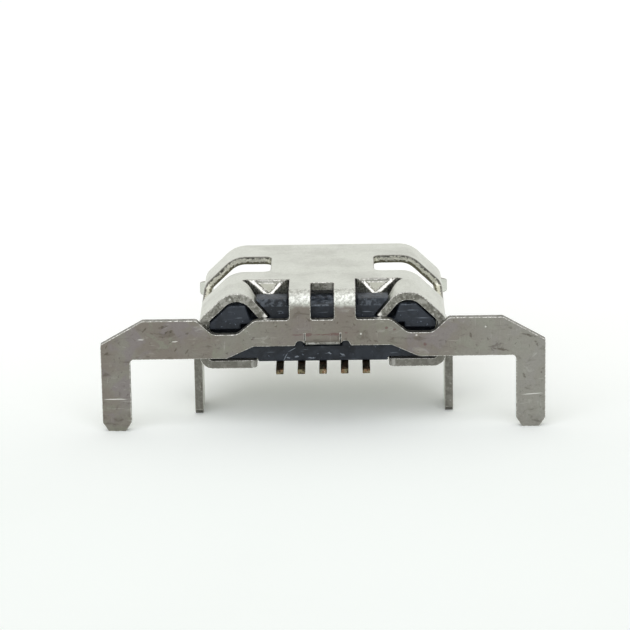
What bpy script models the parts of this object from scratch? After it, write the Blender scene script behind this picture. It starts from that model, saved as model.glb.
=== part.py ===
"""A micro USB socket with four through-board legs and a folded rear plate.

The metal shell is one stamped sheet. It is drawn flat, as a blank, and every point
of the blank is then carried along the folds. A moulded housing with its tongue sits
inside, and five bent contacts pass through the housing.

Sizes are in millimetres and the scene is in metres. +X is right seen from behind,
+Y is towards the mouth and +Z is up. The origin is on the plane of the leg tips,
midway across and midway along. Depths are measured from the rear plate's back face.
"""

import math

import bmesh
import bpy
from mathutils import Matrix, Vector

MM = 0.001

# Sheet metal
SHEET = 0.25
BEND_STEP = math.radians(9)  # the most that one facet of a bend turns
CORNER_STEP = math.radians(22)  # the most that one facet of an outline's corner turns

# Shell tube, outer sizes
SHELL_WIDTH = 7.45
SHELL_HEIGHT = 2.45
SHELL_DEPTH = 5.65
BEVEL_WIDTH = 0.97
BEVEL_DROP = 0.92
TOP_RADIUS = 0.9
SIDE_RADIUS = 0.45
BOTTOM_RADIUS = 0.4
SEAM_GAP = 0.06
REAR_GAP = 0.06  # between the rear plate and the tube's back edge
BOTTOM_LIP = 1.73  # width of the bottom sheet left beside the contact tails
LIP_RADIUS = 0.2
TAIL_NOTCH = 1.35  # depth at which the bottom sheet begins between the lips

# Rear plate, folded down from the top sheet by two strips
PLATE_RADIUS = 0.37
PLATE_WIDTH = 13.4
PLATE_TOP = 1.58
PLATE_BOTTOM = 0.77
PLATE_BOTTOM_WIDTH = 4.16
HORN_TOP = 1.60
HORN_BOTTOM = 0.40
HORN_SLOPE_END = 2.9
HORN_CHAMFER = (1.28, 0.72)
HORN_FILLET = 0.12
NOTCH_BOTTOM = 1.15
NOTCH_INNER = 2.57
NOTCH_OUTER = 3.31
NOTCH_MOUTH_INNER = 2.05
NOTCH_MOUTH_OUTER = 3.80
NOTCH_RADIUS = 0.3
STRIP_INNER = 0.35
STRIP_OUTER = 1.0
STRIP_FILLET = 0.1

# Legs
LEG_LENGTH = 1.85  # below the board face
REAR_LEG_WIDTH = 0.88
REAR_LEG_TAPER = (0.18, 0.28)
FRONT_LEG_WIDTH = 1.30
FRONT_LEG_REAR = 1.60
FRONT_LEG_TAPER = 0.15
FRONT_LEG_TOP = 1.15
FRONT_LEG_SET_OUT = 0.24
JOG_START = 0.15
JOG_LENGTH = 0.45
JOG_RADIUS = 0.40
LEG_SLIT = 0.10

# Centre tab, folded forward under the housing
TAB_WIDTH = 1.06
TAB_Z = 0.73
TAB_RADIUS = 0.30
TAB_REACH = 0.66
TAB_SLIT = 0.015
TAB_SLIT_TOP = 1.16
RELIEF_WIDTH = 0.30
RELIEF_RISE = 0.15
RELIEF_SLOPE = 0.07
RELIEF_RADIUS = 0.10

# Windows of the top sheet
CENTRE_WINDOW_FRONT = 1.08
WINDOW_FRONT = 1.50
WINDOW_RADIUS = 0.08
TONGUE_TAB_BASE = (1.10, 2.25)
TONGUE_TAB_TIP = (1.47, 1.77)
TONGUE_TAB_LENGTH = 0.58
TONGUE_TAB_ANGLE = math.radians(42)
HOOK_HINGE = 3.10
HOOK_SET_BACK = 0.04  # from the spring tab's tip to the front edge of the hook's tip
HOOK_CORNER = 1.85  # where that edge turns off along the spring tab
HOOK_SLIT_END = (2.42, 1.40)
HOOK_SLIT = 0.06
HOOK_SETTLE = 0.55  # the hook is fully folded behind this depth, and flattens out in front
HOOK_TWIST = 0.45  # width over which the hook's front edge takes up its fold
HOOK_RADIUS = 0.74
HOOK_ANGLE = math.radians(50)
HOOK_LENGTH = 0.59
WARP_STEPS = 4

# Latch slots over the bevels
SLOT_INNER = 1.59
SLOT_REAR = 2.43
SLOT_FRONT = 4.22
SLOT_END = 1.42
SLOT_RADIUS = 0.25

# Mouth ears
EAR_TOP = 1.28
EAR_BOTTOM = 0.74
EAR_TAPER = 0.08
EAR_LENGTH = 0.27
EAR_RADIUS = 0.12
EAR_ANGLE = math.radians(50)

# Housing
FIT = 0.06  # clearance between the housing and the folded sheet
LIP_FIT = 0.03  # between the foot and the bottom lips
HOUSING_REAR = 0.33
HOUSING_FRONT = 1.60
FOOT_Z = 0.20
FOOT_FRONT = 1.25
FOOT_HEIGHT = 1.0  # it runs up into the base
LEDGE_WIDTH = 2.1
LEDGE_DEPTH = 1.09
LEDGE_DROP = 0.50  # this and the drops below are taken from the top of the shell
RIDGE_DROP = 0.43
TONGUE_WIDTH = 3.5
TONGUE_DROP = 0.59
TONGUE_THICKNESS = 0.61
TONGUE_TIP = 4.70
TONGUE_CHAMFER = 0.12
POCKET_BOTTOM_DROP = 1.60
POCKET_TOP_DROP = 1.23
POCKET_STEP = (2.47, 1.07)  # across, and drop
POCKET_DEPTH = 0.78
CHEEK_BOTTOM = (2.18, 0.95)
CHEEK_TOP = (2.33, 0.50)
CHEEK_OUTER = 2.87

# Contacts
CONTACT_PITCH = 0.65
CONTACT_SHEET = 0.15
TAIL_WIDTH = 0.23
BLADE_WIDTH = 0.36
TAIL_REACH = 0.38
CONTACT_RISE = 0.98
CONTACT_RADIUS = 0.16
BLADE_SINK = 0.05  # how far the blade's middle lies inside the tongue
BLADE_START = 1.35
BLADE_TIP = 4.45
BLADE_CHAMFER = 0.08
CONTACT_FIT = 0.03
CONTACT_NAMES = ("contact_vbus", "contact_d_minus", "contact_d_plus", "contact_id", "contact_gnd")

# Colours
NICKEL = (0.46, 0.44, 0.41)
BLACK_RESIN = (0.018, 0.021, 0.028)
PALE_GOLD = (0.62, 0.45, 0.24)
NICKEL_ROUGHNESS = 0.38
RESIN_ROUGHNESS = 0.45
GOLD_ROUGHNESS = 0.35

HALF_WIDTH = SHELL_WIDTH / 2
TONGUE_TOP = SHELL_HEIGHT - TONGUE_DROP
TONGUE_BOTTOM = TONGUE_TOP - TONGUE_THICKNESS
TINY = 1e-6
SMALL_STEP = 1e-5  # read back along a path to find its direction
MERGE = 1e-5  # between the two halves of the sheet
LEVEL = math.radians(0.1)  # faces that meet at less than this lie in one plane


def turn_steps(angle, step):
    """How many facets a turn of this angle takes."""
    return max(1, math.ceil(abs(angle) / step - TINY))


def rounded(corners, step=BEND_STEP, closed=False):
    """The corners as plain points, each corner that has a radius becoming an arc."""
    points = []
    count = len(corners)
    for index, (a, b, radius) in enumerate(corners):
        here = Vector((a, b))
        if radius <= 0 or (not closed and index in (0, count - 1)):
            points.append((a, b))
            continue
        before = (Vector(corners[index - 1][:2]) - here).normalized()
        after = (Vector(corners[(index + 1) % count][:2]) - here).normalized()
        opening = before.angle(after)
        turn = math.pi - opening
        start = here + before * (radius / math.tan(opening / 2))
        centre = here + (before + after).normalized() * (radius / math.sin(opening / 2))
        side = 1 if before.cross(after) < 0 else -1
        arm = start - centre
        steps = turn_steps(turn, step)
        for count_so_far in range(steps + 1):
            spin = Matrix.Rotation(side * turn * count_so_far / steps, 2)
            points.append(tuple(centre + spin @ arm))
    return points


class Path:
    """A chain of straight runs, read by the distance along it."""

    def __init__(self, points):
        self.points = [Vector(point) for point in points]
        self.marks = [0.0]
        for here, ahead in zip(self.points, self.points[1:]):
            self.marks.append(self.marks[-1] + (ahead - here).length)

    @property
    def length(self):
        return self.marks[-1]

    def at(self, distance):
        """The point at a distance, the end runs going on straight past the ends."""
        last = len(self.points) - 2
        run = next((i for i in range(last) if distance < self.marks[i + 1]), last)
        share = (distance - self.marks[run]) / (self.marks[run + 1] - self.marks[run])
        return self.points[run].lerp(self.points[run + 1], share)

    def where(self, axis, value, first=True):
        """The distance at which one coordinate takes a value."""
        runs = list(range(len(self.points) - 1))
        for run in runs if first else reversed(runs):
            low = self.points[run][axis]
            high = self.points[run + 1][axis]
            if min(low, high) - TINY <= value <= max(low, high) + TINY and low != high:
                share = (value - low) / (high - low)
                return self.marks[run] + share * (self.marks[run + 1] - self.marks[run])
        raise ValueError("the path never reaches that value")


def inset(corners, distance):
    """An open chain of corners moved sideways, to the right of its direction."""
    sides = []
    for here, ahead in zip(corners, corners[1:]):
        along = (Vector(ahead[:2]) - Vector(here[:2])).normalized()
        aside = Vector((along.y, -along.x)) * distance
        sides.append((Vector(here[:2]) + aside, along, aside))
    moved = [(*sides[0][0], corners[0][2])]
    for (point, along, _), (other, ahead, _), corner in zip(sides, sides[1:], corners[1:]):
        reach = (other - point).cross(ahead) / along.cross(ahead)
        moved.append((*(point + along * reach), max(corner[2] - distance, 0)))
    moved.append((*(Vector(corners[-1][:2]) + sides[-1][2]), corners[-1][2]))
    return moved


# The folds of the shell, each a path that the flat blank follows.
# Heights here are above the board face, which is the underside of the tube.
SECTION_CORNERS = [
    (0, SHELL_HEIGHT, 0),
    (HALF_WIDTH - BEVEL_WIDTH, SHELL_HEIGHT, TOP_RADIUS),
    (HALF_WIDTH, SHELL_HEIGHT - BEVEL_DROP, SIDE_RADIUS),
    (HALF_WIDTH, 0, BOTTOM_RADIUS),
    (SEAM_GAP / 2, 0, 0),
]
SECTION = Path(rounded(SECTION_CORNERS))
REAR_FOLD = Path(
    rounded(
        [
            (SHELL_DEPTH, SHELL_HEIGHT, 0),
            (0, SHELL_HEIGHT, PLATE_RADIUS),
            (0, -LEG_LENGTH, 0),
        ]
    )
)
TAB_FOLD = Path(
    rounded(
        [
            (SHELL_DEPTH, SHELL_HEIGHT, 0),
            (0, SHELL_HEIGHT, PLATE_RADIUS),
            (0, TAB_Z, TAB_RADIUS),
            (TAB_REACH, TAB_Z, 0),
        ]
    )
)


def hook_path():
    """The hook's fold, from its hinge on the top sheet inwards and down."""
    distance = SECTION.where(0, HOOK_HINGE)
    hinge = SECTION.at(distance)
    heading = (SECTION.at(distance - SMALL_STEP) - hinge).normalized()
    fall = Vector((-math.cos(HOOK_ANGLE), -math.sin(HOOK_ANGLE)))
    corner = hinge + heading * HOOK_RADIUS * math.tan(heading.angle(fall) / 2)
    tip = corner + fall * (HOOK_LENGTH + (corner - hinge).length)
    return [(*hinge, 0), (*corner, HOOK_RADIUS), (*tip, 0)]


HOOK_CORNERS = hook_path()
HOOK_FOLD = Path(rounded(HOOK_CORNERS))
LEG_FOLD = Path(
    rounded(
        [
            (0, 0, 0),
            (JOG_START, 0, JOG_RADIUS),
            (JOG_START + JOG_LENGTH, FRONT_LEG_SET_OUT, JOG_RADIUS),
            (FRONT_LEG_TOP + LEG_LENGTH, FRONT_LEG_SET_OUT, 0),
        ]
    )
)
EAR_BEND = EAR_RADIUS * math.tan(EAR_ANGLE / 2)
EAR_FOLD = Path(
    rounded(
        [
            (0, 0, 0),
            (EAR_BEND, 0, EAR_RADIUS),
            (
                EAR_BEND + EAR_LENGTH * math.cos(EAR_ANGLE),
                EAR_LENGTH * math.sin(EAR_ANGLE),
                0,
            ),
        ]
    )
)

# Places on the blank: across is measured along the section from the middle of the
# top sheet, and along is the depth, running on below zero down the rear plate.
HINGE = SECTION.where(0, HOOK_HINGE)
HOOK_TIP = HINGE - HOOK_FOLD.length
HOOK_FRONT = WINDOW_FRONT - TONGUE_TAB_LENGTH - HOOK_SET_BACK
WARP_FRONT = HOOK_SLIT_END[1] + HOOK_SLIT
WALL_LEG_TOP = SECTION.where(1, FRONT_LEG_TOP)
SLOT_OUTER = SECTION.where(1, SLOT_END)
EAR_START = SECTION.where(1, EAR_TOP)
EAR_STOP = SECTION.where(1, EAR_BOTTOM)
LIP_EDGE = SECTION.where(0, HALF_WIDTH - BOTTOM_LIP, first=False)
SEAM_EDGE = SECTION.length
LEG_TIP = WALL_LEG_TOP + LEG_FOLD.length
FRONT_LEG_FRONT = FRONT_LEG_REAR + FRONT_LEG_WIDTH
REAR_EDGE = SHEET + REAR_GAP
EAR_TIP = SHELL_DEPTH + EAR_FOLD.length
TAB_HALF = TAB_WIDTH / 2
PLATE_HALF = PLATE_WIDTH / 2


def down(height):
    """The place along the blank that ends up at this height on the rear plate."""
    return SHELL_DEPTH - REAR_FOLD.where(1, height, first=False)


TAB_END = SHELL_DEPTH - TAB_FOLD.length
TAB_FOLD_START = down(TAB_Z + TAB_RADIUS)


def blank_outline():
    """The right half of the flat blank, corner by corner."""
    leg_inner = PLATE_HALF - REAR_LEG_WIDTH
    taper_across, taper_rise = REAR_LEG_TAPER
    chamfer_across, chamfer_drop = HORN_CHAMFER
    relief_inner = TAB_HALF + TAB_SLIT
    relief_outer = relief_inner + RELIEF_WIDTH
    relief_top = down(PLATE_BOTTOM + RELIEF_RISE)
    tab_tip = WINDOW_FRONT - TONGUE_TAB_LENGTH
    return [
        (0, SHELL_DEPTH, 0),
        (0, CENTRE_WINDOW_FRONT, 0),
        (STRIP_INNER, CENTRE_WINDOW_FRONT, WINDOW_RADIUS),
        (STRIP_INNER, down(PLATE_TOP), WINDOW_RADIUS),
        (0, down(PLATE_TOP), 0),
        (0, TAB_END, 0),
        (TAB_HALF, TAB_END, WINDOW_RADIUS),
        (TAB_HALF, down(TAB_SLIT_TOP), 0),
        (relief_inner, down(TAB_SLIT_TOP), 0),
        (relief_inner, down(PLATE_BOTTOM + RELIEF_SLOPE), 0),
        (relief_inner + RELIEF_SLOPE, relief_top, RELIEF_RADIUS),
        (relief_outer - RELIEF_SLOPE, relief_top, RELIEF_RADIUS),
        (relief_outer, down(PLATE_BOTTOM), RELIEF_RADIUS / 2),
        (PLATE_BOTTOM_WIDTH / 2, down(PLATE_BOTTOM), HORN_FILLET),
        (HORN_SLOPE_END, down(HORN_BOTTOM), HORN_FILLET),
        (leg_inner, down(HORN_BOTTOM), HORN_FILLET),
        (leg_inner, down(-LEG_LENGTH + taper_rise), 0),
        (leg_inner + taper_across, down(-LEG_LENGTH), 0),
        (PLATE_HALF - taper_across, down(-LEG_LENGTH), 0),
        (PLATE_HALF, down(-LEG_LENGTH + taper_rise), 0),
        (PLATE_HALF, down(HORN_TOP - chamfer_drop), HORN_FILLET / 2),
        (PLATE_HALF - chamfer_across, down(HORN_TOP), HORN_FILLET),
        (NOTCH_MOUTH_OUTER, down(HORN_TOP), HORN_FILLET),
        (NOTCH_OUTER, down(NOTCH_BOTTOM), NOTCH_RADIUS),
        (NOTCH_INNER, down(NOTCH_BOTTOM), NOTCH_RADIUS),
        (NOTCH_MOUTH_INNER, down(PLATE_TOP), NOTCH_RADIUS),
        (STRIP_OUTER, down(PLATE_TOP), STRIP_FILLET),
        (STRIP_OUTER, WINDOW_FRONT, WINDOW_RADIUS),
        (TONGUE_TAB_BASE[0], WINDOW_FRONT, 0),
        (TONGUE_TAB_TIP[0], tab_tip, 0),
        (TONGUE_TAB_TIP[1], tab_tip, 0),
        (TONGUE_TAB_BASE[1], WINDOW_FRONT, 0),
        (HOOK_SLIT_END[0], WARP_FRONT, 0),
        (*HOOK_SLIT_END, 0),
        (HOOK_CORNER, HOOK_FRONT, WINDOW_RADIUS),
        (HOOK_TIP, HOOK_FRONT, 0),
        (HOOK_TIP, REAR_EDGE, 0),
        (LIP_EDGE, REAR_EDGE, LIP_RADIUS),
        (LIP_EDGE, TAIL_NOTCH, WINDOW_RADIUS),
        (SEAM_EDGE, TAIL_NOTCH, 0),
        (SEAM_EDGE, SHELL_DEPTH, 0),
        (EAR_STOP, SHELL_DEPTH, 0),
        (EAR_STOP - EAR_TAPER, EAR_TIP, EAR_TAPER),
        (EAR_START + EAR_TAPER, EAR_TIP, EAR_TAPER),
        (EAR_START, SHELL_DEPTH, 0),
    ]


def slot_hole():
    return [
        (SLOT_INNER, SLOT_REAR, SLOT_RADIUS),
        (SLOT_OUTER, SLOT_REAR, SLOT_RADIUS),
        (SLOT_OUTER, SLOT_FRONT, SLOT_RADIUS),
        (SLOT_INNER, SLOT_FRONT, SLOT_RADIUS),
    ]


def leg_hole():
    """The cut round the front leg, which lies flat inside it before it is folded down."""
    return [
        (WALL_LEG_TOP, FRONT_LEG_REAR - LEG_SLIT, 0),
        (LEG_TIP + LEG_SLIT, FRONT_LEG_REAR - LEG_SLIT, LEG_SLIT),
        (LEG_TIP + LEG_SLIT, FRONT_LEG_FRONT + LEG_SLIT, LEG_SLIT),
        (WALL_LEG_TOP, FRONT_LEG_FRONT + LEG_SLIT, 0),
        (WALL_LEG_TOP, FRONT_LEG_FRONT, 0),
        (LEG_TIP - FRONT_LEG_TAPER, FRONT_LEG_FRONT, 0),
        (LEG_TIP, FRONT_LEG_FRONT - FRONT_LEG_TAPER, 0),
        (LEG_TIP, FRONT_LEG_REAR + FRONT_LEG_TAPER, 0),
        (LEG_TIP - FRONT_LEG_TAPER, FRONT_LEG_REAR, 0),
        (WALL_LEG_TOP, FRONT_LEG_REAR, 0),
    ]


def scores():
    """The straight lines on the blank where a fold turns, each with the region it crosses."""
    lines = []
    whole_tube = (0, SEAM_EDGE, REAR_EDGE, SHELL_DEPTH)
    strips = (0, STRIP_OUTER, down(PLATE_TOP), CENTRE_WINDOW_FRONT)
    tab = (0, TAB_HALF, TAB_END, TAB_FOLD_START)
    hook = (HOOK_TIP, HINGE, REAR_EDGE, WARP_FRONT)
    tongue_tab = (*TONGUE_TAB_BASE, WINDOW_FRONT - TONGUE_TAB_LENGTH, WINDOW_FRONT)
    leg = (WALL_LEG_TOP, LEG_TIP, FRONT_LEG_REAR, FRONT_LEG_FRONT)
    ear = (EAR_START, EAR_STOP, SHELL_DEPTH, EAR_TIP)
    lines += [(0, mark, whole_tube) for mark in SECTION.marks[1:-1]]
    lines += [(1, SHELL_DEPTH - mark, strips) for mark in REAR_FOLD.marks[1:-1]]
    lines += [(1, SHELL_DEPTH - mark, tab) for mark in TAB_FOLD.marks[1:-1]]
    lines += [(0, HINGE - mark, hook) for mark in HOOK_FOLD.marks[:-1]]
    slit_end = HOOK_SLIT_END[0]
    for step in range(WARP_STEPS + 1):
        share = step / WARP_STEPS
        lines.append((0, slit_end - HOOK_TWIST * share, hook))
        lines.append((1, HOOK_SETTLE + (WARP_FRONT - HOOK_SETTLE) * share, hook))
    lines += [(1, WINDOW_FRONT, tongue_tab)]
    lines += [(0, WALL_LEG_TOP + mark, leg) for mark in LEG_FOLD.marks[:-1]]
    lines += [(1, SHELL_DEPTH + mark, ear) for mark in EAR_FOLD.marks[:-1]]
    return lines


def smooth(share):
    share = min(max(share, 0), 1)
    return share * share * (3 - 2 * share)


def on_hook(across, along):
    slit_across, slit_along = HOOK_SLIT_END
    if across > slit_across - TINY:
        return across < HINGE and along < WARP_FRONT
    share = (across - HOOK_CORNER) / (slit_across - HOOK_CORNER)
    return along < HOOK_FRONT + (slit_along - HOOK_FRONT) * max(share, 0) + TINY


def hook_place(across, along):
    """The hook's fold, easing into the tube's own section towards the front."""
    ease = smooth((WARP_FRONT - along) / (WARP_FRONT - HOOK_SETTLE))
    hang = smooth((HOOK_SLIT_END[0] - across) / HOOK_TWIST)
    folded = HOOK_FOLD.at(HINGE - across)
    aside, height = SECTION.at(across).lerp(folded, ease + (1 - ease) * hang)
    return aside, along, height


def fold_shell(across, along):
    """Where a point of the right half of the blank ends up."""
    if along < TAB_FOLD_START and across < TAB_HALF + TINY:
        depth, height = TAB_FOLD.at(SHELL_DEPTH - along)
        return across, depth, height
    on_strip = across < STRIP_OUTER + TINY and along < WINDOW_FRONT
    if along < REAR_EDGE - TINY or on_strip:
        depth, height = REAR_FOLD.at(SHELL_DEPTH - along)
        return across, depth, height
    if on_hook(across, along):
        return hook_place(across, along)
    if along < WINDOW_FRONT and across < TONGUE_TAB_BASE[1] + TINY:
        reach = WINDOW_FRONT - along
        depth = WINDOW_FRONT - reach * math.cos(TONGUE_TAB_ANGLE)
        return across, depth, SHELL_HEIGHT - reach * math.sin(TONGUE_TAB_ANGLE)
    beside_leg = FRONT_LEG_REAR - TINY < along < FRONT_LEG_FRONT + TINY
    if beside_leg and WALL_LEG_TOP < across < LEG_TIP + TINY:
        drop, out = LEG_FOLD.at(across - WALL_LEG_TOP)
        return HALF_WIDTH + out, along, FRONT_LEG_TOP - drop
    aside, height = SECTION.at(across)
    if along > SHELL_DEPTH:
        forward, out = EAR_FOLD.at(along - SHELL_DEPTH)
        return aside + out, SHELL_DEPTH + forward, height
    return aside, along, height


FRONT_REACH = SHELL_DEPTH + EAR_FOLD.points[-1].x + SHEET * math.sin(EAR_ANGLE)
TO_SCENE = Matrix.Scale(MM, 4) @ Matrix.Translation((0, (TAIL_REACH - FRONT_REACH) / 2, LEG_LENGTH))


def score(bm, axis, value, box):
    """Cuts the blank's faces along one line, where they meet a region."""

    def meets(face):
        low = [min(vert.co[i] for vert in face.verts) for i in (0, 1)]
        high = [max(vert.co[i] for vert in face.verts) for i in (0, 1)]
        beside = high[0] < box[0] - TINY or low[0] > box[1] + TINY
        beyond = high[1] < box[2] - TINY or low[1] > box[3] + TINY
        return not beside and not beyond

    faces = [face for face in bm.faces if meets(face)]
    edges = {edge for face in faces for edge in face.edges}
    verts = {vert for face in faces for vert in face.verts}
    normal = Vector((axis == 0, axis == 1, 0))
    bmesh.ops.bisect_plane(
        bm,
        geom=[*verts, *edges, *faces],
        dist=TINY,
        plane_co=normal * value,
        plane_no=normal,
    )


def folded_sheet(name, outlines, lines, place):
    """A flat blank, cut along its fold lines and carried to its folded place."""
    bm = bmesh.new()
    for corners in outlines:
        verts = [bm.verts.new((*point, 0)) for point in rounded(corners, CORNER_STEP, closed=True)]
        for here, ahead in zip(verts, verts[1:] + verts[:1]):
            bm.edges.new((here, ahead))
    bmesh.ops.triangle_fill(bm, use_beauty=True, edges=bm.edges[:], normal=(0, 0, 1))
    for axis, value, box in lines:
        score(bm, axis, value, box)
    bmesh.ops.recalc_face_normals(bm, faces=bm.faces[:])
    if sum(face.normal.z for face in bm.faces) < 0:
        bmesh.ops.reverse_faces(bm, faces=bm.faces[:])
    for vert in bm.verts:
        vert.co = place(vert.co.x, vert.co.y)
    bmesh.ops.dissolve_limit(bm, angle_limit=LEVEL, verts=bm.verts[:], edges=bm.edges[:])
    bm.transform(TO_SCENE)
    mesh = bpy.data.meshes.new(name)
    bm.to_mesh(mesh)
    bm.free()
    return bpy.data.objects.new(name, mesh)


def add_thickness(obj, thickness, offset):
    solidify = obj.modifiers.new("sheet", "SOLIDIFY")
    solidify.thickness = thickness * MM
    solidify.offset = offset
    solidify.use_even_offset = True
    solidify.use_quality_normals = True


def prism(name, corners, start, end, axis="Y"):
    """A closed solid of one outline: across and up, drawn out in depth, or seen from the side."""
    curve = bpy.data.curves.new(name, "CURVE")
    curve.dimensions = "2D"
    curve.fill_mode = "BOTH"
    curve.extrude = abs(end - start) / 2
    points = rounded(corners, closed=True)
    spline = curve.splines.new("POLY")
    spline.points.add(len(points) - 1)
    for slot, point in zip(spline.points, points):
        slot.co = (*point, 0, 1)
    spline.use_cyclic_u = True
    drawn = bpy.data.objects.new(name, curve)
    mesh = bpy.data.meshes.new_from_object(drawn)
    bpy.data.objects.remove(drawn)
    bpy.data.curves.remove(curve)
    stand = Matrix(((1, 0, 0), (0, 0, 1), (0, 1, 0))).to_4x4()
    if axis == "X":
        stand = Matrix(((0, 0, 1), (1, 0, 0), (0, 1, 0))).to_4x4()
    middle = Matrix.Translation((0, 0, (start + end) / 2))
    bm = bmesh.new()
    bm.from_mesh(mesh)
    bmesh.ops.remove_doubles(bm, verts=bm.verts[:], dist=TINY)
    bm.transform(stand @ middle)
    bm.normal_update()
    bmesh.ops.recalc_face_normals(bm, faces=bm.faces[:])
    bm.transform(TO_SCENE)
    bm.to_mesh(mesh)
    bm.free()
    mesh.name = name
    return bpy.data.objects.new(name, mesh)


def mirrored(corners):
    """The same outline on the left side."""
    return [(-across, height, radius) for across, height, radius in corners]


def box_corners(left, right, low, high, radius=0):
    return [(left, low, radius), (right, low, radius), (right, high, radius), (left, high, radius)]


def combine(obj, other, operation, helpers):
    """Joins another solid to this one, or cuts it away."""
    helpers.objects.link(other)
    other.hide_render = True
    other.display_type = "WIRE"
    modifier = obj.modifiers.new(other.name, "BOOLEAN")
    modifier.operation = operation
    modifier.solver = "EXACT"
    modifier.object = other


def material(name, colour, roughness, metallic):
    made = bpy.data.materials.new(name)
    made.use_nodes = True
    shader = made.node_tree.nodes["Principled BSDF"]
    shader.inputs["Base Color"].default_value = (*colour, 1)
    shader.inputs["Roughness"].default_value = roughness
    shader.inputs["Metallic"].default_value = metallic
    return made


def build_shell():
    """One sheet: the tube, the rear plate, the legs, the hooks and the mouth's ears."""
    outlines = [blank_outline(), slot_hole(), leg_hole()]
    shell = folded_sheet("shell", outlines, scores(), fold_shell)
    mirror = shell.modifiers.new("left half", "MIRROR")
    mirror.merge_threshold = MERGE * MM
    add_thickness(shell, SHEET, -1)
    return shell


def housing_section():
    """The outline of the housing's base, inside the tube."""
    right = inset(SECTION_CORNERS, SHEET + FIT)[1:4]
    return right + [(-across, height, radius) for across, height, radius in reversed(right)]


def hook_recess():
    """The room round a hook, with the cheek of the corner block beside it."""
    over = inset(HOOK_CORNERS, FIT)
    under = inset(HOOK_CORNERS, -SHEET - FIT)
    corner, tip = (Vector(point[:2]) for point in over[1:])
    beyond = (tip - corner).normalized() * FIT
    rise = (SHELL_HEIGHT - tip.y) / (corner.y - tip.y)
    cheek_top = SHELL_HEIGHT - CHEEK_TOP[1]
    return [
        (*tip.lerp(corner, rise), 0),
        (*(tip + beyond), 0),
        (*(Vector(under[2][:2]) + beyond), 0),
        (CHEEK_BOTTOM[0], SHELL_HEIGHT - CHEEK_BOTTOM[1], 0),
        (CHEEK_TOP[0], cheek_top, 0),
        (CHEEK_OUTER, cheek_top, 0),
        (CHEEK_OUTER + FIT, SHELL_HEIGHT, 0),
    ]


def pocket_outline():
    """The step cut in under the corner block, open to the side."""
    step_across, step_drop = POCKET_STEP
    step_top = SHELL_HEIGHT - step_drop
    pocket_top = SHELL_HEIGHT - POCKET_TOP_DROP
    pocket_bottom = SHELL_HEIGHT - POCKET_BOTTOM_DROP
    return [
        (CHEEK_BOTTOM[0], pocket_bottom, 0),
        (HALF_WIDTH, pocket_bottom, 0),
        (HALF_WIDTH, pocket_top, 0),
        (step_across, pocket_top, 0),
        (step_across, step_top, 0),
        (CHEEK_BOTTOM[0], step_top, 0),
    ]


def ledge_outline():
    """Seen from the side, what is cut away above the ledge and the ridge in front of it."""
    behind = HOUSING_REAR - SHEET
    beyond = HOUSING_FRONT + SHEET
    return [
        (behind, SHELL_HEIGHT - LEDGE_DROP, 0),
        (LEDGE_DEPTH, SHELL_HEIGHT - LEDGE_DROP, 0),
        (LEDGE_DEPTH, SHELL_HEIGHT - RIDGE_DROP, 0),
        (beyond, SHELL_HEIGHT - RIDGE_DROP, 0),
        (beyond, SHELL_HEIGHT, 0),
        (behind, SHELL_HEIGHT, 0),
    ]


def tongue_tab_recess():
    """Seen from the side, the room in front of the wall that a spring tab bears on."""
    tip_depth = WINDOW_FRONT - TONGUE_TAB_LENGTH * math.cos(TONGUE_TAB_ANGLE)
    tip_height = SHELL_HEIGHT - TONGUE_TAB_LENGTH * math.sin(TONGUE_TAB_ANGLE)
    floor = tip_height - SHEET * math.cos(TONGUE_TAB_ANGLE) - FIT
    return box_corners(tip_depth - FIT, HOUSING_FRONT + SHEET, floor, SHELL_HEIGHT)


def contact_path():
    blade_z = TONGUE_BOTTOM + BLADE_SINK
    return Path(
        rounded(
            [
                (-TAIL_REACH, CONTACT_SHEET / 2, 0),
                (CONTACT_RISE, CONTACT_SHEET / 2, CONTACT_RADIUS),
                (CONTACT_RISE, blade_z, CONTACT_RADIUS),
                (BLADE_TIP, blade_z, 0),
            ]
        )
    )


CONTACT_FOLD = contact_path()


def contact_strip(name, aside, clearance):
    """A contact's narrow tail and wider blade, or the channel that lets it through."""
    tail = TAIL_WIDTH / 2 + clearance
    blade = BLADE_WIDTH / 2 + clearance
    shoulder = CONTACT_FOLD.length - (BLADE_TIP - BLADE_START) - clearance
    tip = CONTACT_FOLD.length + clearance
    right = [
        (tail, -clearance, 0),
        (tail, shoulder, 0),
        (blade, shoulder, 0),
        (blade, tip - BLADE_CHAMFER, 0),
        (blade - BLADE_CHAMFER, tip, 0),
    ]
    outline = right + [(-across, along, 0) for across, along, _ in reversed(right)]
    lines = [(1, mark, (-blade, blade, 0, tip)) for mark in CONTACT_FOLD.marks[1:-1]]

    def place(across, along):
        depth, height = CONTACT_FOLD.at(along)
        return aside + across, depth, height

    strip = folded_sheet(name, [outline], lines, place)
    add_thickness(strip, CONTACT_SHEET + 2 * clearance, 0)
    return strip


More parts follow.
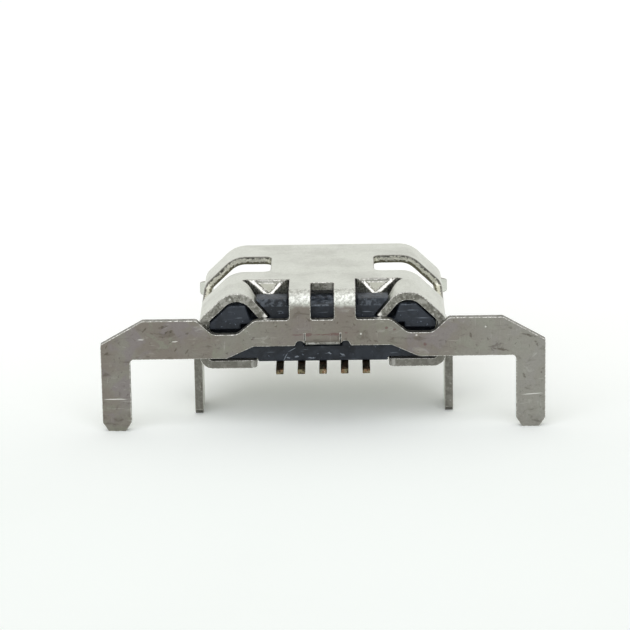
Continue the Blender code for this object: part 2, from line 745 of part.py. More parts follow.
def build_housing(helpers):
    """The moulded housing: base block, foot and tongue, with its recesses and channels."""
    housing = prism("insulator_housing", housing_section(), HOUSING_REAR, HOUSING_FRONT)
    foot_half = HALF_WIDTH - BOTTOM_LIP - LIP_FIT
    foot_outline = box_corners(-foot_half, foot_half, FOOT_Z, FOOT_Z + FOOT_HEIGHT)
    foot = prism("foot", foot_outline, HOUSING_REAR, FOOT_FRONT)
    tongue_outline = [
        (HOUSING_FRONT - SHEET, TONGUE_BOTTOM, 0),
        (TONGUE_TIP - TONGUE_CHAMFER, TONGUE_BOTTOM, 0),
        (TONGUE_TIP, TONGUE_BOTTOM + TONGUE_CHAMFER, 0),
        (TONGUE_TIP, TONGUE_TOP - TONGUE_CHAMFER, 0),
        (TONGUE_TIP - TONGUE_CHAMFER, TONGUE_TOP, 0),
        (HOUSING_FRONT - SHEET, TONGUE_TOP, 0),
    ]
    tongue = prism("tongue", tongue_outline, -TONGUE_WIDTH / 2, TONGUE_WIDTH / 2, axis="X")
    combine(housing, foot, "UNION", helpers)
    combine(housing, tongue, "UNION", helpers)
    behind = HOUSING_REAR - SHEET
    ledge = prism("ledge cut", ledge_outline(), -LEDGE_WIDTH / 2, LEDGE_WIDTH / 2, axis="X")
    combine(housing, ledge, "DIFFERENCE", helpers)
    slot_half = TAB_HALF + FIT
    tab_slot = box_corners(-slot_half, slot_half, TAB_Z - FIT, TAB_Z + SHEET + FIT)
    combine(housing, prism("tab slot", tab_slot, behind, TAB_REACH + FIT), "DIFFERENCE", helpers)
    inner, outer = TONGUE_TAB_BASE
    for side, turned in (("right", list), ("left", mirrored)):
        hook = prism("hook recess " + side, turned(hook_recess()), behind, HOOK_SLIT_END[1])
        combine(housing, hook, "DIFFERENCE", helpers)
        pocket = prism("pocket " + side, turned(pocket_outline()), behind, POCKET_DEPTH)
        combine(housing, pocket, "DIFFERENCE", helpers)
        across = sorted(corner[0] for corner in turned([(inner - FIT, 0, 0), (outer + FIT, 0, 0)]))
        recess = prism("spring tab recess " + side, tongue_tab_recess(), *across, axis="X")
        combine(housing, recess, "DIFFERENCE", helpers)
    for name, aside in contact_places():
        channel = contact_strip(name + " channel", aside, CONTACT_FIT)
        combine(housing, channel, "DIFFERENCE", helpers)
    return housing


def contact_places():
    middle = (len(CONTACT_NAMES) - 1) / 2
    return [(name, (index - middle) * CONTACT_PITCH) for index, name in enumerate(CONTACT_NAMES)]


def build_contacts():
    return [contact_strip(name, aside, 0) for name, aside in contact_places()]


def build():
    for obj in list(bpy.data.objects):
        bpy.data.objects.remove(obj, do_unlink=True)
    parts = bpy.data.collections.new("micro usb socket")
    helpers = bpy.data.collections.new("cutters")
    bpy.context.scene.collection.children.link(parts)
    bpy.context.scene.collection.children.link(helpers)
    nickel = material("tarnished nickel plate", NICKEL, NICKEL_ROUGHNESS, 1)
    resin = material("black moulded resin", BLACK_RESIN, RESIN_ROUGHNESS, 0)
    gold = material("pale gold plate", PALE_GOLD, GOLD_ROUGHNESS, 1)
    finished = [(build_shell(), nickel), (build_housing(helpers), resin)]
    finished += [(contact, gold) for contact in build_contacts()]
    for obj, finish in finished:
        obj.data.materials.clear()
        obj.data.materials.append(finish)
        parts.objects.link(obj)


build()
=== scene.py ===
import math

import bmesh
import bpy
from mathutils import Matrix, Vector
from mathutils.bvhtree import BVHTree


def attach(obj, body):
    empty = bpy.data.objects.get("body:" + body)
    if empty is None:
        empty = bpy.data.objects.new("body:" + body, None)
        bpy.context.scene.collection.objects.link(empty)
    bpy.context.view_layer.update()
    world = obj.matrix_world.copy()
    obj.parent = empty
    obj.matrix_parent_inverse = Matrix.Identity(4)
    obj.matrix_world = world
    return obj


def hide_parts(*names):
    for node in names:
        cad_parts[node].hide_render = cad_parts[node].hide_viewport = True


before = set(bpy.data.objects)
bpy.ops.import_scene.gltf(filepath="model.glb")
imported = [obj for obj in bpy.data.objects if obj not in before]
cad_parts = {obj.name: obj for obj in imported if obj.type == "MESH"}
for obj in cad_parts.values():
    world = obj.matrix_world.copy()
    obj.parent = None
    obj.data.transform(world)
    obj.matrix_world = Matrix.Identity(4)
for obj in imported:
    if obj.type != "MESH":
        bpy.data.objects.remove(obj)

MM = 0.001
TINY = 1e-6
SMALL_STEP = 1e-5
MERGE = 1e-5
LEVEL = math.radians(0.1)  # faces this level with each other are joined
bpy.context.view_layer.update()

SUNK = "sunk"  # how far through the sheet a point lies
STAMP = "stamp"  # which part of a spring tab's stamped V a face belongs to
ARM, MIDDLE, FLANK = 1, 2, 3
THIN = "thin"  # where the sheet was drawn thinner
CLOSE = 0.006  # points of the blank nearer than this are one
WELD = 0.0005  # points of a carried-over solid nearer than this are one

# Camera, as found from the photograph
IMAGE = 630
SENSOR = 36
FOCAL_PIXELS = 3258.1
CAMERA_AZIMUTH = math.radians(0.48)
CAMERA_ELEVATION = math.radians(16.274)
CAMERA_DISTANCE = 100
CAMERA_ROLL = math.radians(-0.885)
CAMERA_AIM = (-0.00241, 0.00642)
CAMERA_TARGET = (0, 2.0, 0.5)
CAMERA_CLIP = (1, 10000)

# Sheet metal
SHEET = 0.25
BEND_STEP = math.radians(4)
CORNER_STEP = math.radians(9)
SHORTEST_EDGE = 0.012

# Shell tube, outer sizes
SHELL_WIDTH = 7.45
SHELL_HEIGHT = 2.45
SHELL_DEPTH = 5.65
BEVEL_WIDTH = 0.97
BEVEL_DROP = 0.92
TOP_RADIUS = 0.9
SIDE_RADIUS = 0.45
BOTTOM_RADIUS = 0.4
SEAM_GAP = 0.06
REAR_GAP = 0.06
BOTTOM_LIP = 1.73
LIP_RADIUS = 0.2
TAIL_NOTCH = 1.35

# Rear plate
PLATE_RADIUS = 0.37
PLATE_WIDTH = 13.4
PLATE_TOP = 1.58
PLATE_BOTTOM = 0.77
PLATE_BOTTOM_WIDTH = 4.16
HORN_TOP = 1.60
HORN_BOTTOM = 0.40
HORN_SLOPE_END = 2.9
HORN_CHAMFER = (1.28, 0.72)
HORN_FILLET = 0.12
NOTCH_BOTTOM = 1.15
NOTCH_INNER = 2.57
NOTCH_OUTER = 3.31
NOTCH_MOUTH_INNER = 2.05
NOTCH_MOUTH_OUTER = 3.80
NOTCH_RADIUS = 0.3
STRIP_INNER = 0.35
STRIP_OUTER = 1.0
STRIP_FILLET = 0.1

# Legs
LEG_LENGTH = 1.85
REAR_LEG_WIDTH = 0.88
REAR_LEG_TAPER = (0.18, 0.28)
FRONT_LEG_WIDTH = 1.30
FRONT_LEG_REAR = 1.60
FRONT_LEG_TAPER = 0.15
FRONT_LEG_TOP = 1.15
FRONT_LEG_SET_OUT = 0.24
JOG_START = 0.15
JOG_LENGTH = 0.45
JOG_RADIUS = 0.40
LEG_SLIT = 0.10

# Centre tab
TAB_WIDTH = 1.06
TAB_Z = 0.73
TAB_RADIUS = 0.30
TAB_REACH = 0.66
TAB_SLIT = 0.015
TAB_SLIT_TOP = 1.16
RELIEF_WIDTH = 0.30
RELIEF_RISE = 0.15
RELIEF_SLOPE = 0.07
RELIEF_RADIUS = 0.10

# Windows of the top sheet
CENTRE_WINDOW_FRONT = 1.08
WINDOW_FRONT = 1.50
WINDOW_RADIUS = 0.08
TONGUE_TAB_BASE = (1.10, 2.25)
TONGUE_TAB_LENGTH = 0.58
TONGUE_TAB_ANGLE = math.radians(42)
HOOK_HINGE = 3.10
HOOK_SET_BACK = 0.04
HOOK_CORNER = 1.85
HOOK_SLIT_END = (2.42, 1.40)
HOOK_SLIT = 0.06
HOOK_SETTLE = 0.55
HOOK_TWIST = 0.45
HOOK_RADIUS = 0.74
HOOK_ANGLE = math.radians(50)
HOOK_LENGTH = 0.59
WARP_STEPS = 10

# Latch slots over the bevels
SLOT_INNER = 1.59
SLOT_REAR = 2.43
SLOT_FRONT = 4.22
SLOT_END = 1.42
SLOT_RADIUS = 0.25

# Mouth ears
EAR_TOP = 1.28
EAR_BOTTOM = 0.74
EAR_TAPER = 0.08
EAR_LENGTH = 0.27
EAR_RADIUS = 0.12
EAR_ANGLE = math.radians(50)

HOUSING_REAR = 0.33
TAIL_REACH = 0.38
HALF_WIDTH = SHELL_WIDTH / 2


def turn_steps(angle, step):
    return max(1, math.ceil(abs(angle) / step - TINY))


def rounded(corners, step=BEND_STEP, closed=False, shortest=0):
    """The corners as plain points, each corner that has a radius becoming an arc."""
    points = []
    count = len(corners)
    for index, (a, b, radius) in enumerate(corners):
        here = Vector((a, b))
        if radius <= 0 or (not closed and index in (0, count - 1)):
            points.append((a, b))
            continue
        before = (Vector(corners[index - 1][:2]) - here).normalized()
        after = (Vector(corners[(index + 1) % count][:2]) - here).normalized()
        opening = before.angle(after)
        turn = math.pi - opening
        start = here + before * (radius / math.tan(opening / 2))
        centre = here + (before + after).normalized() * (radius / math.sin(opening / 2))
        side = 1 if before.cross(after) < 0 else -1
        arm = start - centre
        steps = turn_steps(turn, max(step, shortest / radius))
        for count_so_far in range(steps + 1):
            spin = Matrix.Rotation(side * turn * count_so_far / steps, 2)
            points.append(tuple(centre + spin @ arm))
    return points


class Path:
    """A chain of straight runs, read by the distance along it."""

    def __init__(self, points):
        self.points = [Vector(point) for point in points]
        self.marks = [0.0]
        for here, ahead in zip(self.points, self.points[1:]):
            self.marks.append(self.marks[-1] + (ahead - here).length)

    @property
    def length(self):
        return self.marks[-1]

    def at(self, distance):
        last = len(self.points) - 2
        run = next((i for i in range(last) if distance < self.marks[i + 1]), last)
        share = (distance - self.marks[run]) / (self.marks[run + 1] - self.marks[run])
        return self.points[run].lerp(self.points[run + 1], share)

    def where(self, axis, value, first=True):
        """The distance at which one coordinate takes a value."""
        runs = list(range(len(self.points) - 1))
        for run in runs if first else reversed(runs):
            low = self.points[run][axis]
            high = self.points[run + 1][axis]
            if min(low, high) - TINY <= value <= max(low, high) + TINY and low != high:
                share = (value - low) / (high - low)
                return self.marks[run] + share * (self.marks[run + 1] - self.marks[run])
        raise ValueError("the path never reaches that value")


SECTION = Path(
    rounded(
        [
            (0, SHELL_HEIGHT, 0),
            (HALF_WIDTH - BEVEL_WIDTH, SHELL_HEIGHT, TOP_RADIUS),
            (HALF_WIDTH, SHELL_HEIGHT - BEVEL_DROP, SIDE_RADIUS),
            (HALF_WIDTH, 0, BOTTOM_RADIUS),
            (SEAM_GAP / 2, 0, 0),
        ]
    )
)
REAR_FOLD = Path(
    rounded([(SHELL_DEPTH, SHELL_HEIGHT, 0), (0, SHELL_HEIGHT, PLATE_RADIUS), (0, -LEG_LENGTH, 0)])
)
TAB_FOLD = Path(
    rounded(
        [
            (SHELL_DEPTH, SHELL_HEIGHT, 0),
            (0, SHELL_HEIGHT, PLATE_RADIUS),
            (0, TAB_Z, TAB_RADIUS),
            (TAB_REACH, TAB_Z, 0),
        ]
    )
)


def hook_path():
    """The hook's fold, from its hinge on the bevel inwards and down."""
    distance = SECTION.where(0, HOOK_HINGE)
    hinge = SECTION.at(distance)
    heading = (SECTION.at(distance - SMALL_STEP) - hinge).normalized()
    fall = Vector((-math.cos(HOOK_ANGLE), -math.sin(HOOK_ANGLE)))
    corner = hinge + heading * HOOK_RADIUS * math.tan(heading.angle(fall) / 2)
    tip = corner + fall * (HOOK_LENGTH + (corner - hinge).length)
    return [(*hinge, 0), (*corner, HOOK_RADIUS), (*tip, 0)]


HOOK_FOLD = Path(rounded(hook_path()))
LEG_FOLD = Path(
    rounded(
        [
            (0, 0, 0),
            (JOG_START, 0, JOG_RADIUS),
            (JOG_START + JOG_LENGTH, FRONT_LEG_SET_OUT, JOG_RADIUS),
            (FRONT_LEG_TOP + LEG_LENGTH, FRONT_LEG_SET_OUT, 0),
        ]
    )
)
EAR_BEND = EAR_RADIUS * math.tan(EAR_ANGLE / 2)
EAR_FOLD = Path(
    rounded(
        [
            (0, 0, 0),
            (EAR_BEND, 0, EAR_RADIUS),
            (
                EAR_BEND + EAR_LENGTH * math.cos(EAR_ANGLE),
                EAR_LENGTH * math.sin(EAR_ANGLE),
                0,
            ),
        ]
    )
)

HINGE = SECTION.where(0, HOOK_HINGE)
HOOK_TIP = HINGE - HOOK_FOLD.length
HOOK_FRONT = WINDOW_FRONT - TONGUE_TAB_LENGTH - HOOK_SET_BACK
WARP_FRONT = HOOK_SLIT_END[1] + HOOK_SLIT
WALL_LEG_TOP = SECTION.where(1, FRONT_LEG_TOP)
SLOT_OUTER = SECTION.where(1, SLOT_END)
EAR_START = SECTION.where(1, EAR_TOP)
EAR_STOP = SECTION.where(1, EAR_BOTTOM)
LIP_EDGE = SECTION.where(0, HALF_WIDTH - BOTTOM_LIP, first=False)
SEAM_EDGE = SECTION.length
LEG_TIP = WALL_LEG_TOP + LEG_FOLD.length
FRONT_LEG_FRONT = FRONT_LEG_REAR + FRONT_LEG_WIDTH
REAR_EDGE = SHEET + REAR_GAP
EAR_TIP = SHELL_DEPTH + EAR_FOLD.length
TAB_HALF = TAB_WIDTH / 2
PLATE_HALF = PLATE_WIDTH / 2


def down(height):
    """The place along the blank that ends up at this height on the rear plate."""
    return SHELL_DEPTH - REAR_FOLD.where(1, height, first=False)


TAB_END = SHELL_DEPTH - TAB_FOLD.length
TAB_FOLD_START = down(TAB_Z + TAB_RADIUS)
FRONT_REACH = SHELL_DEPTH + EAR_FOLD.points[-1].x + SHEET * math.sin(EAR_ANGLE)
TO_FRAME = Matrix.Translation((0, (TAIL_REACH - FRONT_REACH) / 2, LEG_LENGTH))
TO_SCENE = Matrix.Scale(MM, 4) @ TO_FRAME


# The stamped V of a spring tab: its arms, the flanks that hang from them and its sunk middle
V_TIP = (1.55, 1.69)
FLANK_WIDTH = 0.04  # in the blank, where the flank isn't yet drawn down
FLANK_BOTTOM = 1.90
FLANK_LEAN = 0.15
ARM_WIDTH = 0.10
PANEL_START = 0.05
PANEL_SLOPE = 0.05
PANEL_SINK = 0.05
THIN_SHARE = 0.3


class Arm:
    """One straight side of a spring tab's V, by across and reach from the tab's fold line."""

    def __init__(self, start, end, side):
        self.start, self.end = start, end
        along = (Vector(end) - Vector(start)).normalized()
        self.normal = Vector((along.y, -along.x)) * side
        self.spread = FLANK_WIDTH / abs(self.normal.x)

    def beyond(self, across, reach):
        """How far a place lies outside the V, or less than zero inside it."""
        return (Vector((across, reach)) - Vector(self.start)).dot(self.normal)


INNER_ARM = Arm((TONGUE_TAB_BASE[0], 0), (V_TIP[0], TONGUE_TAB_LENGTH), -1)
OUTER_ARM = Arm((TONGUE_TAB_BASE[1], 0), (V_TIP[1], TONGUE_TAB_LENGTH), 1)


def blank_outline():
    """The right half of the flat blank, corner by corner."""
    leg_inner = PLATE_HALF - REAR_LEG_WIDTH
    taper_across, taper_rise = REAR_LEG_TAPER
    chamfer_across, chamfer_drop = HORN_CHAMFER
    relief_inner = TAB_HALF + TAB_SLIT
    relief_outer = relief_inner + RELIEF_WIDTH
    relief_top = down(PLATE_BOTTOM + RELIEF_RISE)
    tab_tip = WINDOW_FRONT - TONGUE_TAB_LENGTH
    return [
        (0, SHELL_DEPTH, 0),
        (0, CENTRE_WINDOW_FRONT, 0),
        (STRIP_INNER, CENTRE_WINDOW_FRONT, WINDOW_RADIUS),
        (STRIP_INNER, down(PLATE_TOP), WINDOW_RADIUS),
        (0, down(PLATE_TOP), 0),
        (0, TAB_END, 0),
        (TAB_HALF, TAB_END, WINDOW_RADIUS),
        (TAB_HALF, down(TAB_SLIT_TOP), 0),
        (relief_inner, down(TAB_SLIT_TOP), 0),
        (relief_inner, down(PLATE_BOTTOM + RELIEF_SLOPE), 0),
        (relief_inner + RELIEF_SLOPE, relief_top, RELIEF_RADIUS),
        (relief_outer - RELIEF_SLOPE, relief_top, RELIEF_RADIUS),
        (relief_outer, down(PLATE_BOTTOM), RELIEF_RADIUS / 2),
        (PLATE_BOTTOM_WIDTH / 2, down(PLATE_BOTTOM), HORN_FILLET),
        (HORN_SLOPE_END, down(HORN_BOTTOM), HORN_FILLET),
        (leg_inner, down(HORN_BOTTOM), HORN_FILLET),
        (leg_inner, down(-LEG_LENGTH + taper_rise), 0),
        (leg_inner + taper_across, down(-LEG_LENGTH), 0),
        (PLATE_HALF - taper_across, down(-LEG_LENGTH), 0),
        (PLATE_HALF, down(-LEG_LENGTH + taper_rise), 0),
        (PLATE_HALF, down(HORN_TOP - chamfer_drop), HORN_FILLET / 2),
        (PLATE_HALF - chamfer_across, down(HORN_TOP), HORN_FILLET),
        (NOTCH_MOUTH_OUTER, down(HORN_TOP), HORN_FILLET),
        (NOTCH_OUTER, down(NOTCH_BOTTOM), NOTCH_RADIUS),
        (NOTCH_INNER, down(NOTCH_BOTTOM), NOTCH_RADIUS),
        (NOTCH_MOUTH_INNER, down(PLATE_TOP), NOTCH_RADIUS),
        (STRIP_OUTER, down(PLATE_TOP), STRIP_FILLET),
        (STRIP_OUTER, WINDOW_FRONT, 0),
        (INNER_ARM.start[0] - INNER_ARM.spread, WINDOW_FRONT, 0),
        (INNER_ARM.end[0] - INNER_ARM.spread, tab_tip, 0),
        (OUTER_ARM.end[0] + OUTER_ARM.spread, tab_tip, 0),
        (OUTER_ARM.start[0] + OUTER_ARM.spread, WINDOW_FRONT, 0),
        (HOOK_SLIT_END[0], WARP_FRONT, 0),
        (*HOOK_SLIT_END, 0),
        (HOOK_CORNER, HOOK_FRONT, WINDOW_RADIUS),
        (HOOK_TIP, HOOK_FRONT, 0),
        (HOOK_TIP, REAR_EDGE, 0),
        (LIP_EDGE, REAR_EDGE, LIP_RADIUS),
        (LIP_EDGE, TAIL_NOTCH, WINDOW_RADIUS),
        (SEAM_EDGE, TAIL_NOTCH, 0),
        (SEAM_EDGE, SHELL_DEPTH, 0),
        (EAR_STOP, SHELL_DEPTH, 0),
        (EAR_STOP - EAR_TAPER, EAR_TIP, EAR_TAPER),
        (EAR_START + EAR_TAPER, EAR_TIP, EAR_TAPER),
        (EAR_START, SHELL_DEPTH, 0),
    ]


def slot_hole():
    """The latch slot, which lies over the tube's bevel when folded."""
    return [
        (SLOT_INNER, SLOT_REAR, SLOT_RADIUS),
        (SLOT_OUTER, SLOT_REAR, SLOT_RADIUS),
        (SLOT_OUTER, SLOT_FRONT, SLOT_RADIUS),
        (SLOT_INNER, SLOT_FRONT, SLOT_RADIUS),
    ]


def leg_hole():
    """The cut round the front leg, which lies flat inside it before it is folded down."""
    return [
        (WALL_LEG_TOP, FRONT_LEG_REAR - LEG_SLIT, 0),
        (LEG_TIP + LEG_SLIT, FRONT_LEG_REAR - LEG_SLIT, LEG_SLIT),
        (LEG_TIP + LEG_SLIT, FRONT_LEG_FRONT + LEG_SLIT, LEG_SLIT),
        (WALL_LEG_TOP, FRONT_LEG_FRONT + LEG_SLIT, 0),
        (WALL_LEG_TOP, FRONT_LEG_FRONT, 0),
        (LEG_TIP - FRONT_LEG_TAPER, FRONT_LEG_FRONT, 0),
        (LEG_TIP, FRONT_LEG_FRONT - FRONT_LEG_TAPER, 0),
        (LEG_TIP, FRONT_LEG_REAR + FRONT_LEG_TAPER, 0),
        (LEG_TIP - FRONT_LEG_TAPER, FRONT_LEG_REAR, 0),
        (WALL_LEG_TOP, FRONT_LEG_REAR, 0),
    ]


def beyond_arms(across, reach):
    """How far a place lies outside the stamped V, or less than zero inside it."""
    return max(INNER_ARM.beyond(across, reach), OUTER_ARM.beyond(across, reach))


def panel_depth(across, reach):
    """How far a place on the spring tab lies inside the edge of the V's sunk middle."""
    return min(-beyond_arms(across, reach) - ARM_WIDTH, reach - PANEL_START)


def tab_place(across, along):
    """A place on a spring tab: a sloping V, its middle sunk, a flank hanging from each arm."""
    reach = WINDOW_FRONT - along
    arm = max((INNER_ARM, OUTER_ARM), key=lambda side: side.beyond(across, reach))
    beyond = max(arm.beyond(across, reach), 0)
    across -= beyond * arm.normal.x
    reach -= beyond * arm.normal.y
    sink = PANEL_SINK * smooth(panel_depth(across, reach) / PANEL_SLOPE)
    depth = WINDOW_FRONT - reach * math.cos(TONGUE_TAB_ANGLE) + sink * math.sin(TONGUE_TAB_ANGLE)
    height = SHELL_HEIGHT - reach * math.sin(TONGUE_TAB_ANGLE) - sink * math.cos(TONGUE_TAB_ANGLE)
    drop = (height - FLANK_BOTTOM) * beyond / FLANK_WIDTH
    return across + FLANK_LEAN * drop * arm.normal.x, depth, height - drop


def on_tab(across, along):
    """True where a place on the blank belongs to the spring tab."""
    low = INNER_ARM.start[0] - INNER_ARM.spread - TINY
    high = OUTER_ARM.start[0] + OUTER_ARM.spread + TINY
    return along < WINDOW_FRONT + TINY and low < across < high and not on_hook(across, along)


def stamp_part(across, along):
    """The part of a spring tab that a place on the blank belongs to, or nothing."""
    if not on_tab(across, along):
        return 0
    reach = WINDOW_FRONT - along
    if beyond_arms(across, reach) > 0:
        return FLANK
    return MIDDLE if panel_depth(across, reach) > 0 else ARM


def is_thin(across, along):
    """True on the edge and the flanks of the spring tab's V."""
    reach = WINDOW_FRONT - along
    return on_tab(across, along) and reach > TINY and beyond_arms(across, reach) > -TINY


ACROSS = (1, 0)
ALONG = (0, 1)


def scores():
    """Where the blank's folds turn: each line's normal and offset, and the region it crosses."""
    lines = []
    whole_tube = (0, SEAM_EDGE, REAR_EDGE, SHELL_DEPTH)
    before_hook = (0, SEAM_EDGE, WARP_FRONT + SMALL_STEP, SHELL_DEPTH)
    strips = (0, STRIP_OUTER, down(PLATE_TOP), CENTRE_WINDOW_FRONT)
    tab = (0, TAB_HALF, TAB_END, TAB_FOLD_START)
    hook = (HOOK_TIP, HINGE, REAR_EDGE, WARP_FRONT)
    tongue_tab = (*TONGUE_TAB_BASE, WINDOW_FRONT - TONGUE_TAB_LENGTH, WINDOW_FRONT)
    leg = (WALL_LEG_TOP, LEG_TIP, FRONT_LEG_REAR, FRONT_LEG_FRONT)
    ear = (EAR_START, EAR_STOP, SHELL_DEPTH, EAR_TIP)
    lines.append((ALONG, WARP_FRONT, hook))
    for mark in SECTION.marks[1:-1]:
        lines.append((ACROSS, mark, before_hook if HOOK_TIP < mark < HINGE else whole_tube))
    lines += [(ALONG, SHELL_DEPTH - mark, strips) for mark in REAR_FOLD.marks[1:-1]]
    lines += [(ALONG, SHELL_DEPTH - mark, tab) for mark in TAB_FOLD.marks[1:-1]]
    lines += [(ACROSS, HINGE - mark, hook) for mark in HOOK_FOLD.marks[:-1]]
    slit_end = HOOK_SLIT_END[0]
    for step in range(WARP_STEPS + 1):
        share = step / WARP_STEPS
        lines.append((ACROSS, slit_end - HOOK_TWIST * share, hook))
        lines.append((ALONG, HOOK_SETTLE + (WARP_FRONT - HOOK_SETTLE) * share, hook))
    lines.append((ALONG, WINDOW_FRONT, tongue_tab))
    for arm in (INNER_ARM, OUTER_ARM):
        normal = (arm.normal.x, -arm.normal.y)
        edge = arm.start[0] * arm.normal.x - WINDOW_FRONT * arm.normal.y
        for inset in (0, ARM_WIDTH, ARM_WIDTH + PANEL_SLOPE / 2, ARM_WIDTH + PANEL_SLOPE):
            lines.append((normal, edge - inset, tongue_tab))
    for reach in (PANEL_START, PANEL_START + PANEL_SLOPE / 2, PANEL_START + PANEL_SLOPE):
        lines.append((ALONG, WINDOW_FRONT - reach, tongue_tab))
    lines += [(ACROSS, WALL_LEG_TOP + mark, leg) for mark in LEG_FOLD.marks[:-1]]
    lines += [(ALONG, SHELL_DEPTH + mark, ear) for mark in EAR_FOLD.marks[:-1]]
    return lines


def smooth(share):
    share = min(max(share, 0), 1)
    return share * share * (3 - 2 * share)


def on_hook(across, along):
    """True where a place on the blank belongs to the hook, behind its slit."""
    slit_across, slit_along = HOOK_SLIT_END
    if across > slit_across - TINY:
        return across < HINGE and along < WARP_FRONT
    share = (across - HOOK_CORNER) / (slit_across - HOOK_CORNER)
    return along < HOOK_FRONT + (slit_along - HOOK_FRONT) * max(share, 0) + TINY


def hook_place(across, along):
    """The hook's fold, easing into the tube's own section towards the front."""
    ease = smooth((WARP_FRONT - along) / (WARP_FRONT - HOOK_SETTLE))
    hang = smooth((HOOK_SLIT_END[0] - across) / HOOK_TWIST)
    folded = HOOK_FOLD.at(HINGE - across)
    aside, height = SECTION.at(across).lerp(folded, ease + (1 - ease) * hang)
    return aside, along, height


def fold_shell(across, along):
    """Where a point of the right half of the blank ends up."""
    if along < TAB_FOLD_START and across < TAB_HALF + TINY:
        depth, height = TAB_FOLD.at(SHELL_DEPTH - along)
        return across, depth, height
    on_strip = across < STRIP_OUTER + TINY and along < WINDOW_FRONT
    if along < REAR_EDGE - TINY or on_strip:
        depth, height = REAR_FOLD.at(SHELL_DEPTH - along)
        return across, depth, height
    if on_hook(across, along):
        return hook_place(across, along)
    if along < WINDOW_FRONT - TINY and on_tab(across, along):
        return tab_place(across, along)
    beside_leg = FRONT_LEG_REAR - TINY < along < FRONT_LEG_FRONT + TINY
    if beside_leg and WALL_LEG_TOP < across < LEG_TIP + TINY:
        drop, out = LEG_FOLD.at(across - WALL_LEG_TOP)
        return HALF_WIDTH + out, along, FRONT_LEG_TOP - drop
    aside, height = SECTION.at(across)
    if along > SHELL_DEPTH:
        forward, out = EAR_FOLD.at(along - SHELL_DEPTH)
        return aside + out, SHELL_DEPTH + forward, height
    return aside, along, height


def score(bm, normal, offset, box):
    """Cuts the blank's faces along one line, where they meet a region.

    The region is given by its two ends across and its two ends along.
    """

    def meets(face):
        low = [min(vert.co[i] for vert in face.verts) for i in (0, 1)]
        high = [max(vert.co[i] for vert in face.verts) for i in (0, 1)]
        beside = high[0] < box[0] - TINY or low[0] > box[1] + TINY
        beyond = high[1] < box[2] - TINY or low[1] > box[3] + TINY
        return not beside and not beyond

    faces = [face for face in bm.faces if meets(face)]
    edges = {edge for face in faces for edge in face.edges}
    verts = {vert for face in faces for vert in face.verts}
    plane = Vector((*normal, 0))
    bmesh.ops.bisect_plane(
        bm,
        geom=[*verts, *edges, *faces],
        dist=TINY,
        plane_co=plane * offset,
        plane_no=plane,
    )


def folded_sheet(name, outlines, lines, place):
    """A flat blank, cut along its fold lines and carried to its folded place."""
    bm = bmesh.new()
    for corners in outlines:
        points = rounded(corners, CORNER_STEP, closed=True, shortest=SHORTEST_EDGE)
        verts = [bm.verts.new((*point, 0)) for point in points]
        for here, ahead in zip(verts, verts[1:] + verts[:1]):
            bm.edges.new((here, ahead))
    bmesh.ops.triangle_fill(bm, use_beauty=True, edges=bm.edges[:], normal=(0, 0, 1))
    for normal, offset, box in lines:
        score(bm, normal, offset, box)
    bmesh.ops.remove_doubles(bm, verts=bm.verts[:], dist=CLOSE)
    bmesh.ops.recalc_face_normals(bm, faces=bm.faces[:])
    if sum(face.normal.z for face in bm.faces) < 0:
        bmesh.ops.reverse_faces(bm, faces=bm.faces[:])
    stamp = bm.faces.layers.float.new(STAMP)
    for face in bm.faces:
        centre = face.calc_center_median()
        face[stamp] = stamp_part(centre.x, centre.y)
    groups = bm.verts.layers.deform.verify()
    for vert in bm.verts:
        across, along = vert.co.x, vert.co.y
        vert[groups][0] = THIN_SHARE if is_thin(across, along) else 1.0
        vert.co = place(across, along)
    bmesh.ops.dissolve_limit(bm, angle_limit=LEVEL, verts=bm.verts[:], edges=bm.edges[:])
    bm.transform(TO_SCENE)
    mesh = bpy.data.meshes.new(name)
    bm.to_mesh(mesh)
    bm.free()
    sheet = bpy.data.objects.new(name, mesh)
    sheet.vertex_groups.new(name=THIN)
    return sheet


def make_camera():
    """The photograph's camera: its aim, then its roll about the line of sight."""
    target = TO_FRAME @ Vector(CAMERA_TARGET)
    level = math.cos(CAMERA_ELEVATION)
    back = Vector(
        (
            math.sin(CAMERA_AZIMUTH) * level,
            -math.cos(CAMERA_AZIMUTH) * level,
            math.sin(CAMERA_ELEVATION),
        )
    )
    right = (-back).cross(Vector((0, 0, 1))).normalized()
    up = right.cross(-back)
    pan, tilt = CAMERA_AIM
    ahead = (-back + right * pan + up * tilt).normalized()
    right = ahead.cross(up).normalized()
    up = right.cross(ahead)
    turned_right = right * math.cos(CAMERA_ROLL) + up * math.sin(CAMERA_ROLL)
    turned_up = up * math.cos(CAMERA_ROLL) - right * math.sin(CAMERA_ROLL)
    data = bpy.data.cameras.new("camera")
    data.sensor_width = SENSOR
    data.lens = FOCAL_PIXELS / IMAGE * SENSOR
    data.clip_start, data.clip_end = (clip * MM for clip in CAMERA_CLIP)
    camera = bpy.data.objects.new("camera", data)
    placed = Matrix((turned_right, turned_up, -ahead)).transposed().to_4x4()
    placed.translation = (target + back * CAMERA_DISTANCE) * MM
    camera.matrix_world = placed
    bpy.context.scene.collection.objects.link(camera)
    bpy.context.scene.camera = camera


COLOUR_A, COLOUR_B, COLOUR_OUT = 6, 7, 2  # the colour sockets of a Mix node
STAMP_SLACK = 0.1
RAGGED_SCALE = 9.0
RAGGED_DETAIL = 3.0
MARK_EDGE = (0.6, 1.1)  # where a mark fades out, as shares of its size
MOST = (0.3, 0.7)  # most values of a noise lie between these


